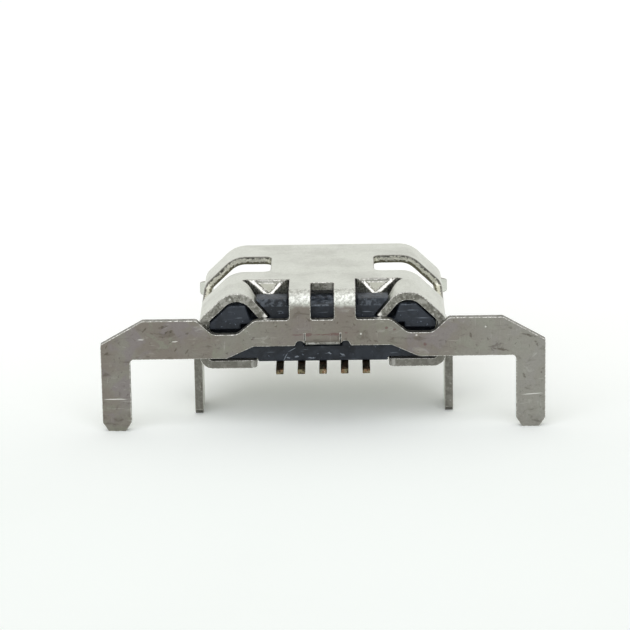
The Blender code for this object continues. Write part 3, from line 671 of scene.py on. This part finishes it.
class Graph:
    """A node tree, with short calls for the nodes that a look is built from."""

    def __init__(self, tree):
        self.tree = tree

    def node(self, kind, inputs=(), **settings):
        made = self.tree.nodes.new("ShaderNode" + kind)
        for key, value in settings.items():
            setattr(made, key, value)
        for key, value in dict(inputs).items():
            self.feed(made.inputs[key], value)
        return made

    def feed(self, socket, value):
        if isinstance(value, bpy.types.NodeSocket):
            self.tree.links.new(value, socket)
        elif isinstance(value, tuple) and len(value) == 3 and len(socket.default_value) == 4:
            socket.default_value = (*value, 1)
        else:
            socket.default_value = value

    def math(self, operation, a, b=0.0):
        return self.node("Math", {0: a, 1: b}, operation=operation).outputs[0]

    def equals(self, value, wanted):
        inputs = {0: value, 1: wanted, 2: STAMP_SLACK}
        return self.node("Math", inputs, operation="COMPARE").outputs[0]

    def times(self, first, *others):
        for other in others:
            first = self.math("MULTIPLY", first, other)
        return first

    def either(self, first, *others):
        for other in others:
            first = self.math("MAXIMUM", first, other)
        return first

    def span(self, value, low, high, out_low=0.0, out_high=1.0):
        """The value's place between low and high, eased, carried to another range."""
        ends = {"From Min": low, "From Max": high, "To Min": out_low, "To Max": out_high}
        inputs = {"Value": value, **ends}
        return self.node("MapRange", inputs, interpolation_type="SMOOTHSTEP").outputs[0]

    def mix(self, share, a, b):
        inputs = {"Factor": share, COLOUR_A: a, COLOUR_B: b}
        return self.node("Mix", inputs, data_type="RGBA").outputs[COLOUR_OUT]

    def bump(self, height, distance, normal=None):
        inputs = {"Height": height, "Distance": distance * MM}
        if normal is not None:
            inputs["Normal"] = normal
        return self.node("Bump", inputs).outputs[0]


class PartGraph(Graph):
    """A material's node tree, with the part's own axes in millimetres."""

    def __init__(self, tree):
        super().__init__(tree)
        coords = self.node("TexCoord").outputs["Object"]
        scaled = self.node("VectorMath", {0: coords, "Scale": 1 / MM}, operation="SCALE")
        offset = (TO_FRAME.inverted() @ Vector((0, 0, 0))).to_tuple()
        self.place = self.node("VectorMath", {0: scaled.outputs[0], 1: offset}).outputs[0]
        axes = self.node("SeparateXYZ", {0: self.place}).outputs
        self.across, self.depth, self.height = axes[0], axes[1], axes[2]

    def turned(self, turn, scale):
        inputs = {"Vector": self.place, "Rotation": turn, "Scale": scale}
        return self.node("Mapping", inputs).outputs[0]

    def noise(self, scale, detail=2.0, rough=0.5, warp=0.0, place=None):
        """Noise of so many features to the millimetre."""
        inputs = {
            "Vector": place or self.place,
            "Scale": scale,
            "Detail": detail,
            "Roughness": rough,
            "Distortion": warp,
        }
        return self.node("TexNoise", inputs).outputs["Fac"]

    def marks(self, spots, depth, reach=0.12, ragged=0.05):
        """The strokes of a list, each by its across, height, half length, half width and turn."""
        inputs = {"Vector": self.place, "Scale": RAGGED_SCALE, "Detail": RAGGED_DETAIL}
        wobble = self.node("TexNoise", inputs).outputs["Color"]
        centred = self.node("VectorMath", {0: wobble, 1: (-0.5, -0.5, -0.5)}).outputs[0]
        inputs = {0: centred, 1: (ragged, 0, ragged), 2: self.place}
        shaken = self.node("VectorMath", inputs, operation="MULTIPLY_ADD").outputs[0]
        found = []
        for across, height, half_length, half_width, turn in spots:
            inputs = {
                "Vector": shaken,
                "Location": (across, depth, height),
                "Rotation": (0, -math.radians(turn), 0),
                "Scale": (half_length, reach, half_width),
            }
            local = self.node("Mapping", inputs, vector_type="TEXTURE").outputs[0]
            away = self.node("VectorMath", {0: local}, operation="LENGTH").outputs["Value"]
            found.append(self.span(away, *MARK_EDGE, 1.0, 0.0))
        return self.either(*found)


def new_material(name):
    """A material with its node graph and the inputs of its surface."""
    material = bpy.data.materials.new(name)
    material.use_nodes = True
    graph = PartGraph(material.node_tree)
    return material, graph, material.node_tree.nodes["Principled BSDF"].inputs


def coat(graph, inputs, colour, rough, normal=None, metallic=1):
    """Gives a material its colour, its roughness and its fine relief."""
    graph.feed(inputs["Base Color"], colour)
    graph.feed(inputs["Roughness"], rough)
    graph.feed(inputs["Metallic"], metallic)
    if normal is not None:
        graph.feed(inputs["Normal"], normal)


NICKEL = (0.71, 0.725, 0.67)
NICKEL_SHADE = (0.61, 0.62, 0.57)
# The rear plate's darker coat: tarnish, and painted shade
TARNISH_AND_SHADE = (0.255, 0.245, 0.215)
TARNISH_AND_SHADE_BROWN = (0.225, 0.20, 0.175)
TARNISH_AND_SHADE_VIOLET = (0.24, 0.215, 0.215)
TARNISH_AND_SHADE_GREEN = (0.25, 0.25, 0.205)
TARNISH_AND_SHADE_PALE = (0.33, 0.325, 0.295)
STAIN = (0.085, 0.07, 0.055)
BROWN_STAIN = (0.17, 0.105, 0.10)
SCRATCH_AND_HIGHLIGHT = (0.88, 0.87, 0.83)

# Fine relief, in millimetres
SHEET_PITS = 0.005
RUB_DEPTH = -0.004
CUT_RELIEF = 0.018
RESIN_SKIN = 0.012
RESIN_RELIEF = 0.006
CONTACT_RELIEF = 0.012

# Where one look of the sheet fades into another, each by its start and its end
PLATE_DEPTHS = (0.22, 0.06)
PLATE_HEIGHTS = (2.28, 2.10)
PALE_WING = (2.5, 6.5)
BROWN_MIDDLE = (2.4, 1.2)
FOOT_HEIGHTS = (-1.15, -1.35)
BEND_DEPTHS = (0.42, 0.34)
BEND_HEIGHTS = (1.98, 2.08)
FOLD_ACROSS = (TAB_HALF, TAB_HALF - 0.04)
FOLD_TOP = (0.88, 0.84)
FOLD_BOTTOM = (0.76, 0.80)
SLOT_DEPTHS = (2.0, 2.2)
SLOT_HEIGHTS = (1.0, 1.2)
LOW_HEIGHTS = (0.6, 0.4)
LOW_DEPTHS = (0.2, 0.3)
MOUTH_DEPTHS = (1.4, 1.6)

# Marks on the rear plate: across, height, half length, half width and turn
DARK_MARKS = (
    (-5.36, 1.33, 0.10, 0.035, 57),
    (-4.78, 1.42, 0.19, 0.045, 15),
    (-4.69, 1.25, 0.09, 0.035, 50),
    (-4.10, 0.64, 0.10, 0.030, 55),
    (-6.52, 0.82, 0.07, 0.030, 60),
    (-2.10, 1.02, 0.09, 0.030, 40),
    (-4.43, 0.72, 0.08, 0.025, 60),
    (1.63, 1.18, 0.03, 0.025, 0),
    (4.45, 1.06, 0.10, 0.030, 100),
    (5.34, 0.59, 0.30, 0.040, -8),
    (6.20, 1.02, 0.26, 0.035, -14),
    (6.06, -0.24, 0.09, 0.030, -60),
)
BROWN_MARKS = (
    (-0.75, 1.12, 0.22, 0.022, 0),
    (-0.43, 1.12, 0.13, 0.065, 10),
    (0.00, 1.12, 0.34, 0.022, 0),
    (0.35, 1.13, 0.22, 0.050, 0),
    (0.71, 1.17, 0.05, 0.035, 0),
    (1.92, 1.31, 0.06, 0.045, 0),
    (2.16, 1.26, 0.06, 0.040, 30),
    (3.08, 0.78, 0.06, 0.060, 0),
)
BRIGHT_MARKS = (
    (-6.30, -0.83, 0.37, 0.020, 0),
    (6.31, -0.82, 0.34, 0.016, 3),
    (-4.45, 0.96, 0.10, 0.018, 5),
    (-5.47, 1.03, 0.10, 0.016, 0),
    (1.15, 1.13, 0.035, 0.035, 0),
    (2.82, 1.07, 0.035, 0.030, 0),
    (4.90, 1.31, 0.035, 0.030, 0),
)


def tarnish_and_shade(graph, drift, aside):
    """The rear plate's darker coat, partly tarnish and partly painted shade, with its strokes,
    flecks and marks.
    """
    tarnish_and_shade_coat = graph.mix(graph.span(graph.noise(0.55, 3, 0.55), 0.40, 0.60), TARNISH_AND_SHADE, TARNISH_AND_SHADE_BROWN)
    tarnish_and_shade_coat = graph.mix(graph.span(drift, 0.52, 0.64, 0, 0.8), tarnish_and_shade_coat, TARNISH_AND_SHADE_VIOLET)
    tarnish_and_shade_coat = graph.mix(graph.span(drift, 0.46, 0.36, 0, 0.8), tarnish_and_shade_coat, TARNISH_AND_SHADE_GREEN)
    tarnish_and_shade_coat = graph.mix(graph.span(graph.across, *PALE_WING, 0, 0.7), tarnish_and_shade_coat, TARNISH_AND_SHADE_PALE)
    tarnish_and_shade_coat = graph.mix(graph.span(aside, *BROWN_MIDDLE, 0, 0.5), tarnish_and_shade_coat, TARNISH_AND_SHADE_BROWN)
    strokes = graph.noise(1, 4, 0.65, 0.8, graph.turned((0, 0.8, 0), (1.8, 1.8, 4.0)))
    tarnish_and_shade_coat = graph.mix(graph.span(strokes, 0.56, 0.72, 0, 0.50), tarnish_and_shade_coat, STAIN)
    tarnish_and_shade_coat = graph.mix(graph.span(strokes, 0.42, 0.26, 0, 0.28), tarnish_and_shade_coat, NICKEL_SHADE)
    flecks = graph.noise(6, 3, 0.65, 0.6)
    tarnish_and_shade_coat = graph.mix(graph.span(flecks, 0.60, 0.72, 0, 0.6), tarnish_and_shade_coat, STAIN)
    broken = graph.span(graph.noise(11, 3, 0.7), 0.34, 0.52, 0.35, 1)
    dark = graph.times(graph.marks(DARK_MARKS, 0, ragged=0.09), broken, 0.62)
    brown = graph.times(graph.marks(BROWN_MARKS, 0), broken, 0.80)
    return graph.mix(brown, graph.mix(dark, tarnish_and_shade_coat, STAIN), BROWN_STAIN)


def fine_scratches(graph):
    """Thin scratches that run across and along the sheet."""
    across = graph.noise(1, 2, 0.5, 0, graph.turned((0.1, 0.15, 0.35), (1.0, 24, 24)))
    along = graph.noise(1, 2, 0.5, 0, graph.turned((0.5, 0.25, 0.1), (24, 1.2, 1.2)))
    return graph.either(graph.span(across, 0.68, 0.74), graph.span(along, 0.69, 0.75))


def painted_fold_highlight(graph, aside):
    """A painted highlight along the fold at the foot of the centre tab."""
    return graph.times(
        graph.span(aside, *FOLD_ACROSS),
        graph.span(graph.height, *FOLD_TOP),
        graph.span(graph.height, *FOLD_BOTTOM),
        graph.span(graph.noise(9, 3, 0.6), 0.36, 0.50),
    )


def nickel_faces():
    """The sheet's plated faces: pale on the tube, darker on the rear plate with tarnish, marks and
    painted shade; painted highlights on the bend, the V's arms and the tab's fold, painted shade
    on the V's flanks.
    """
    material, graph, inputs = new_material("nickel_faces")
    drift = graph.noise(1.3, 4, 0.6, 0.8)
    aside = graph.math("ABSOLUTE", graph.across)
    grain = graph.noise(20, 3, 0.7)
    pale = graph.mix(graph.span(graph.noise(0.7, 3, 0.6), 0.40, 0.66), NICKEL, NICKEL_SHADE)
    rub = graph.math("ADD", graph.depth, graph.times(graph.span(grain, *MOST), 0.08))
    dip = graph.math("ADD", graph.height, graph.times(drift, 0.3))
    plate = graph.times(graph.span(rub, *PLATE_DEPTHS), graph.span(dip, *PLATE_HEIGHTS))
    # Painted shade: the rear plate painted darker than the tube, over its real tarnish and marks
    colour = graph.mix(plate, pale, tarnish_and_shade(graph, drift, aside))
    blotch = graph.span(graph.noise(4, 3), 0.42, 0.56)
    foot = graph.times(graph.span(graph.height, *FOOT_HEIGHTS), blotch)
    colour = graph.mix(graph.times(foot, 0.10), colour, STAIN)
    colour = graph.mix(graph.span(grain, 0.35, 0.75, 0, 0.16), colour, STAIN)
    # The bend from the tube down to the rear plate: mottled scuffs, and a painted highlight
    behind = graph.span(graph.depth, *BEND_DEPTHS)
    bend = graph.times(behind, graph.span(graph.height, *BEND_HEIGHTS))
    bend_scuff_and_highlight = graph.noise(13, 3, 0.7)
    colour = graph.mix(graph.times(bend, graph.span(bend_scuff_and_highlight, 0.56, 0.40), 0.65), colour, TARNISH_AND_SHADE_PALE)
    stamp = graph.node("Attribute", attribute_name=STAMP).outputs["Fac"]
    arms, middle, flank = (graph.equals(stamp, part) for part in (ARM, MIDDLE, FLANK))
    # Painted shade: the V's flanks painted a darker mottled grey
    flank_shade = graph.mix(graph.span(graph.noise(18, 4, 0.75), 0.42, 0.60), CUT_MIDDLE, NICKEL)
    colour = graph.mix(flank, colour, flank_shade)
    colour = graph.mix(graph.times(middle, 0.5), colour, CUT_OLIVE)
    scratches_and_highlights = graph.either(
        graph.times(graph.marks(BRIGHT_MARKS, 0, ragged=0.03), 0.6),
        graph.times(fine_scratches(graph), 0.14),
        # painted highlight on the bend
        graph.times(bend, graph.span(bend_scuff_and_highlight, 0.46, 0.60), 0.25),
        # painted highlight: the V's arms painted white
        arms,
        # painted highlight along the tab's fold
        graph.times(painted_fold_highlight(graph, aside), 0.8),
    )
    colour = graph.mix(scratches_and_highlights, colour, SCRATCH_AND_HIGHLIGHT)
    rough = graph.span(graph.noise(8, 3, 0.6), *MOST, 0.34, 0.50)
    pits = graph.bump(graph.noise(12, 4, 0.65), SHEET_PITS)
    relief = graph.bump(scratches_and_highlights, RUB_DEPTH, pits)
    coat(graph, inputs, colour, rough, relief)
    return material


CUT_DARK_AND_SHADE = (0.15, 0.145, 0.125)
CUT_MIDDLE = (0.27, 0.265, 0.235)
CUT_PALE = (0.42, 0.41, 0.375)
CUT_CREAM = (0.88, 0.87, 0.76)
CUT_OLIVE = (0.20, 0.19, 0.125)
LEG_STREAK = ((-3.72, -0.93, 0.24, 0.045, 90),)
HOOK_END = HOOK_FOLD.points[-1]
LIP_END = HALF_WIDTH - BOTTOM_LIP
# Painted highlights on the ends of the hooks and of the bottom lips
HIGHLIGHTED_ENDS = tuple(
    (side * across, height, half_length, half_width, 0)
    for side in (-1, 1)
    for across, height, half_length, half_width in (
        (HOOK_END.x + 0.02, HOOK_END.y + 0.02, 0.16, 0.11),
        (LIP_END + 0.08, 0.12, 0.12, 0.16),
    )
)


def sheared_edge():
    """The sheet's cut edges: torn and mottled, with pale flecks, and burnished on the slots;
    painted shade low on the tube, and painted highlights on the hook and lip ends.
    """
    material, graph, inputs = new_material("sheared_edge")
    sunk = graph.node("Attribute", attribute_name=SUNK).outputs["Fac"]
    grain = graph.noise(12, 3, 0.65)
    patch = graph.noise(5, 3, 0.6, 0.4)
    level = graph.math("ADD", sunk, graph.times(graph.math("SUBTRACT", grain, 0.5), 0.9))
    colour = graph.mix(graph.span(grain, 0.42, 0.58), CUT_DARK_AND_SHADE, CUT_MIDDLE)
    colour = graph.mix(graph.span(patch, 0.48, 0.62, 0, 0.7), colour, CUT_PALE)
    colour = graph.mix(graph.span(grain, 0.62, 0.70, 0, 0.7), colour, SCRATCH_AND_HIGHLIGHT)
    # painted highlight on the hook and lip ends
    colour = graph.mix(graph.marks(HIGHLIGHTED_ENDS, REAR_EDGE, reach=0.5), colour, SCRATCH_AND_HIGHLIGHT)
    front = graph.span(graph.depth, *SLOT_DEPTHS)
    on_slot = graph.times(front, graph.span(graph.height, *SLOT_HEIGHTS))
    burnish = graph.times(graph.span(level, 0.20, 0.32), graph.span(level, 0.76, 0.62))
    colour = graph.mix(graph.times(on_slot, burnish, 0.9), colour, CUT_CREAM)
    colour = graph.mix(graph.times(on_slot, graph.span(level, 0.64, 0.80)), colour, CUT_OLIVE)
    # Painted shade: cut edges low on the tube, on its lips and front legs, painted darker
    low = graph.times(graph.span(graph.height, *LOW_HEIGHTS), graph.span(graph.depth, *LOW_DEPTHS))
    colour = graph.mix(graph.times(low, 0.65), colour, CUT_DARK_AND_SHADE)
    streak = graph.marks(LEG_STREAK, FRONT_LEG_REAR, reach=0.3)
    colour = graph.mix(graph.times(streak, 0.85), colour, STAIN)
    rough = graph.span(grain, *MOST, 0.38, 0.60)
    coat(graph, inputs, colour, rough, graph.bump(grain, CUT_RELIEF))
    return material


def worn_edge():
    """The narrow rubbed corners between the sheet's faces and its cut edges."""
    material, graph, inputs = new_material("worn_edge")
    grain = graph.noise(16, 3, 0.7)
    pale = graph.mix(graph.span(graph.depth, *MOUTH_DEPTHS), SCRATCH_AND_HIGHLIGHT, CUT_PALE)
    colour = graph.mix(graph.span(grain, 0.40, 0.64), CUT_MIDDLE, pale)
    coat(graph, inputs, colour, graph.span(grain, *MOST, 0.30, 0.45))
    return material


RESIN_DARK = (0.009, 0.012, 0.017)
RESIN_PALE = (0.024, 0.030, 0.041)
RESIN_FLECK = (0.17, 0.20, 0.26)
RESIN_SCRATCH = (0.30, 0.34, 0.40)
RESIN_SHINE = 0.33
LEDGE_HEIGHTS = (1.90, 1.94)
LEDGE_MIDDLE = (0.5, 0.3)

# Marks on the rear face of the housing
HAIR = (
    (-1.14, 0.33, 0.16, 0.012, 62),
    (-0.93, 0.56, 0.15, 0.012, 28),
)
HOUSING_SCUFFS = (
    (-1.05, 0.31, 0.06, 0.03, 0),
    (-0.80, 0.34, 0.09, 0.03, 10),
    (0.20, 0.44, 0.07, 0.025, -15),
    (0.60, 0.39, 0.09, 0.025, -25),
    (-0.35, 0.30, 0.12, 0.02, 5),
)


def moulded_resin():
    """Blue-black resin with a mottled skin, pale specks and fine scratches."""
    material, graph, inputs = new_material("moulded_resin")
    cloud = graph.noise(1.6, 4, 0.65, 0.5)
    colour = graph.mix(graph.span(cloud, 0.36, 0.64), RESIN_DARK, RESIN_PALE)
    flecks = graph.noise(9, 2, 0.6)
    colour = graph.mix(graph.span(flecks, 0.66, 0.73, 0, 0.7), colour, RESIN_FLECK)
    lines = graph.noise(1, 2, 0.5, 0.3, graph.turned((0.2, 0.6, 0.1), (1.6, 26, 26)))
    ledge = graph.times(
        graph.span(graph.height, *LEDGE_HEIGHTS),
        graph.span(graph.noise(7, 4, 0.7), 0.42, 0.60),
        graph.span(graph.math("ABSOLUTE", graph.across), *LEDGE_MIDDLE, 0.25, 0.55),
    )
    scuffs = graph.either(
        graph.marks(HAIR, HOUSING_REAR, ragged=0.03),
        graph.times(graph.marks(HOUSING_SCUFFS, HOUSING_REAR, ragged=0.14), 0.8),
    )
    scratches = graph.times(graph.span(lines, 0.66, 0.73), 0.4)
    marks = graph.either(scratches, ledge, graph.times(scuffs, 0.8))
    colour = graph.mix(marks, colour, RESIN_SCRATCH)
    inputs["Specular IOR Level"].default_value = RESIN_SHINE
    rough = graph.span(graph.noise(7, 3), *MOST, 0.36, 0.56)
    skin = graph.bump(graph.noise(14, 4, 0.65), RESIN_SKIN)
    relief = graph.bump(marks, RESIN_RELIEF, skin)
    coat(graph, inputs, colour, rough, relief, metallic=0)
    return material


SOLDER_OLIVE = (0.20, 0.18, 0.11)
SOLDER_BROWN = (0.20, 0.115, 0.065)
SOLDER_BRIGHT = (0.66, 0.58, 0.44)
SOLDER_PIT = (0.04, 0.03, 0.022)
TAIL_SHADE = (0.012, 0.010, 0.008)
TAIL_TOP = (0.10, 0.20)
GOLD = (0.80, 0.62, 0.34)
GOLD_DEPTHS = (1.2, 1.6)


def contact_plate():
    """Thin gold over bronze, mottled brown and olive where it was soldered."""
    material, graph, inputs = new_material("contact_plate")
    grain = graph.noise(10, 3, 0.7)
    patch = graph.noise(5, 2, 0.6, 0.5)
    colour = graph.mix(graph.span(patch, 0.46, 0.60), SOLDER_OLIVE, SOLDER_BROWN)
    colour = graph.mix(graph.span(grain, 0.60, 0.70), colour, SOLDER_BRIGHT)
    colour = graph.mix(graph.span(grain, 0.50, 0.40, 0, 0.9), colour, SOLDER_PIT)
    top = graph.times(graph.span(graph.height, *TAIL_TOP), 0.85)
    colour = graph.mix(top, colour, TAIL_SHADE)
    colour = graph.mix(graph.span(graph.depth, *GOLD_DEPTHS), colour, GOLD)
    rough = graph.span(grain, *MOST, 0.30, 0.55)
    coat(graph, inputs, colour, rough, graph.bump(grain, CONTACT_RELIEF))
    return material


EDGE_WIDTH = 0.018
EDGE_ANGLE = math.radians(38)
STRAY = 0.010  # an eased edge never lies further than this from the plain one
CLOSING_PASSES = 3
PLATED, EASED = 0, 2  # the sheet's materials on its faces and on its eased edges
SLIVER = 0.02  # a turned-over face with less than this area, in square mm, is closed up
TURNED = -0.5  # a face is turned over when its normal and its neighbours' have less in common
HOUSING_EDGE = 0.04
CONTACT_EDGE = 0.02
FLAT = math.radians(1)


def ease_edges(obj, width, material=-1):
    """Small round edges, wherever two faces meet more sharply than EDGE_ANGLE."""
    for face in obj.data.polygons:
        face.use_smooth = True
    bevel = obj.modifiers.new("edges", "BEVEL")
    bevel.width = width * MM
    bevel.segments = 2
    bevel.limit_method = "ANGLE"
    bevel.angle_limit = EDGE_ANGLE
    bevel.use_clamp_overlap = False
    bevel.miter_outer = "MITER_SHARP"
    bevel.material = material


def close_turned_slivers(mesh):
    """Closes up the slivers that the easing turned over, along their shortest edge."""
    bm = bmesh.new()
    bm.from_mesh(mesh)
    turned = []
    for face in bm.faces:
        if face.material_index != PLATED or face.calc_area() > SLIVER * MM * MM:
            continue
        around = {near for vert in face.verts for near in vert.link_faces}
        plated = [near for near in around if near.material_index == PLATED]
        level = sum((near.normal * near.calc_area() for near in plated), Vector())
        if face.normal.dot(level.normalized()) < TURNED:
            turned.append(face)
    shortest = {min(face.edges, key=lambda edge: edge.calc_length()) for face in turned}
    bmesh.ops.collapse(bm, edges=list(shortest))
    bmesh.ops.dissolve_degenerate(bm, dist=MERGE * MM, edges=bm.edges[:])
    bm.to_mesh(mesh)
    bm.free()


def shade_settled(mesh):
    """Shades flat faces flat up to their eased edges, and those from one face to the next."""
    around = [[] for _ in mesh.vertices]
    faces = []
    for index, face in enumerate(mesh.polygons):
        faces.append((face.normal.copy(), face.area, face.material_index == EASED))
        for vert in face.vertices:
            around[vert].append(index)
    normals = []
    for face in mesh.polygons:
        own, _, eased = faces[face.index]
        limit = math.cos(EDGE_ANGLE * (2 if eased else 1))
        for vert in face.vertices:
            near = [faces[index] for index in around[vert]]
            flat = [entry for entry in near if not entry[2]] or near
            parts = [normal * area for normal, area, _ in flat if normal.dot(own) > limit]
            total = sum(parts, Vector())
            normals.append(total.normalized() if total.length > 0 else own)
    mesh.normals_split_custom_set(normals)


def settle_edges(obj):
    """Keeps the eased edges as plain mesh, without the points that shoot past a sharp corner."""
    plain = BVHTree.FromPolygons(
        [vert.co for vert in obj.data.vertices],
        [tuple(face.vertices) for face in obj.data.polygons],
    )
    evaluated = obj.evaluated_get(bpy.context.evaluated_depsgraph_get())
    eased = bpy.data.meshes.new_from_object(evaluated)
    for vert in eased.vertices:
        spot, _, _, away = plain.find_nearest(vert.co)
        if away > STRAY * MM:
            vert.co = spot
    for _ in range(CLOSING_PASSES):
        close_turned_slivers(eased)
    shade_settled(eased)
    obj.modifiers.clear()
    obj.data = eased


def thickened(sheet):
    """The folded sheet with its left half and its thickness, as a plain mesh."""
    mirror = sheet.modifiers.new("left half", "MIRROR")
    mirror.merge_threshold = MERGE * MM
    solidify = sheet.modifiers.new("sheet", "SOLIDIFY")
    solidify.thickness = SHEET * MM
    solidify.offset = -1
    solidify.use_even_offset = True
    solidify.use_quality_normals = True
    solidify.material_offset_rim = 1
    solidify.vertex_group = THIN
    bpy.context.scene.collection.objects.link(sheet)
    evaluated = sheet.evaluated_get(bpy.context.evaluated_depsgraph_get())
    mesh = bpy.data.meshes.new_from_object(evaluated)
    bpy.data.objects.remove(sheet)
    sunk = mesh.attributes.new(SUNK, "FLOAT", "POINT")
    outer = len(mesh.vertices) // 2  # the outer side's points come first
    for index, entry in enumerate(sunk.data):
        entry.value = float(index >= outer)
    return mesh


def build_shell():
    """One sheet: the tube, the rear plate, the legs, the hooks and the mouth's ears."""
    outlines = [blank_outline(), slot_hole(), leg_hole()]
    sheet = folded_sheet("blank", outlines, scores(), fold_shell)
    for material in (nickel_faces(), sheared_edge(), worn_edge()):
        sheet.data.materials.append(material)
    shell = bpy.data.objects.new("shell_sheet", thickened(sheet))
    ease_edges(shell, EDGE_WIDTH, EASED)
    bpy.context.scene.collection.objects.link(shell)
    settle_edges(shell)
    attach(shell, "root")
    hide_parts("shell")


def dress(obj, material, width):
    """A carried-over node: its flat faces joined up again and shaded flat, its edges eased."""
    weld = obj.modifiers.new("join", "WELD")
    weld.merge_threshold = WELD * MM
    flat = obj.modifiers.new("flat", "DECIMATE")
    flat.decimate_type = "DISSOLVE"
    flat.angle_limit = FLAT
    ease_edges(obj, width)
    normals = obj.modifiers.new("normals", "WEIGHTED_NORMAL")
    normals.keep_sharp = False
    obj.data.materials.clear()
    obj.data.materials.append(material)


FLOOR_HALF = 600
FLOOR_COLOUR = (0.88, 0.90, 0.89)
FLOOR_SEEN = (1.02, 1.05, 1.05)
FLOOR_SEEN_FAR = (1.14, 1.14, 1.15)
FLOOR_FADE = (-8, 20)  # the depths between which one passes into the other: painted shade, the floor a little darker near the camera


def make_floor():
    """Pale paper, which reads as white to the camera and to what mirrors or lets it through, with
    painted shade making it a little darker near the camera.
    """
    bpy.ops.mesh.primitive_plane_add(size=2 * FLOOR_HALF * MM)
    floor = bpy.context.object
    floor.name = "floor"
    material, graph, inputs = new_material("floor_paper")
    path = graph.node("LightPath").outputs
    seen = graph.either(path["Is Camera Ray"], path["Is Glossy Ray"], path["Is Transmission Ray"])
    fibre = graph.span(graph.noise(0.05, 3, 0.6), 0.35, 0.65, 0.985, 1.0)
    # Painted shade: the floor seen a little darker near the camera
    shown = graph.mix(graph.span(graph.depth, *FLOOR_FADE), FLOOR_SEEN, FLOOR_SEEN_FAR)
    colour = graph.mix(seen, FLOOR_COLOUR, shown)
    shaded = graph.node("VectorMath", {0: colour, "Scale": fibre}, operation="SCALE").outputs[0]
    inputs["Specular IOR Level"].default_value = 0
    coat(graph, inputs, shaded, 1, metallic=0)
    floor.data.materials.append(material)


ROOM_NEAR = (0.24, 0.235, 0.22)
ROOM_FAR = (1.0, 1.0, 0.98)
AMBIENT_NEAR = (0.20, 0.20, 0.18)
AMBIENT_FAR = (0.74, 0.74, 0.69)
ROOM_FADE = (-0.65, 0.25)  # from near the camera to far ahead of it


def make_room():
    """A pale room, darker behind the camera where metal mirrors it. The camera sees it pale."""
    world = bpy.data.worlds.new("room")
    world.use_nodes = True
    bpy.context.scene.world = world
    graph = Graph(world.node_tree)
    around = graph.node("TexCoord").outputs["Generated"]
    far = graph.span(graph.node("SeparateXYZ", {0: around}).outputs["Y"], *ROOM_FADE)
    path = graph.node("LightPath").outputs
    camera = path["Is Camera Ray"]
    shown = graph.mix(graph.either(far, camera), ROOM_NEAR, ROOM_FAR)
    ambient = graph.mix(far, AMBIENT_NEAR, AMBIENT_FAR)
    seen = graph.either(camera, path["Is Glossy Ray"], path["Is Transmission Ray"])
    background = world.node_tree.nodes["Background"].inputs["Color"]
    graph.feed(background, graph.mix(seen, ambient, shown))


SUN_FROM = (-0.10, -0.76, 0.65)
SUN_SPREAD = math.radians(84)
SUN_STRENGTH = 1.9
SUN_COLOUR = (0.98, 1.0, 1.03)


def make_softbox():
    """One wide soft light from above the camera."""
    lamp = bpy.data.lights.new("softbox", "SUN")
    lamp.angle = SUN_SPREAD
    lamp.energy = SUN_STRENGTH
    lamp.color = SUN_COLOUR
    softbox = bpy.data.objects.new("softbox", lamp)
    softbox.rotation_euler = Vector(SUN_FROM).to_track_quat("Z", "Y").to_euler()
    bpy.context.scene.collection.objects.link(softbox)


make_camera()
make_floor()
make_room()
make_softbox()
bpy.context.scene.view_settings.view_transform = "Standard"
build_shell()
resin = moulded_resin()
gold = contact_plate()
for node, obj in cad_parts.items():
    if node == "insulator_housing":
        dress(obj, resin, HOUSING_EDGE)
    elif node != "shell":
        dress(obj, gold, CONTACT_EDGE)
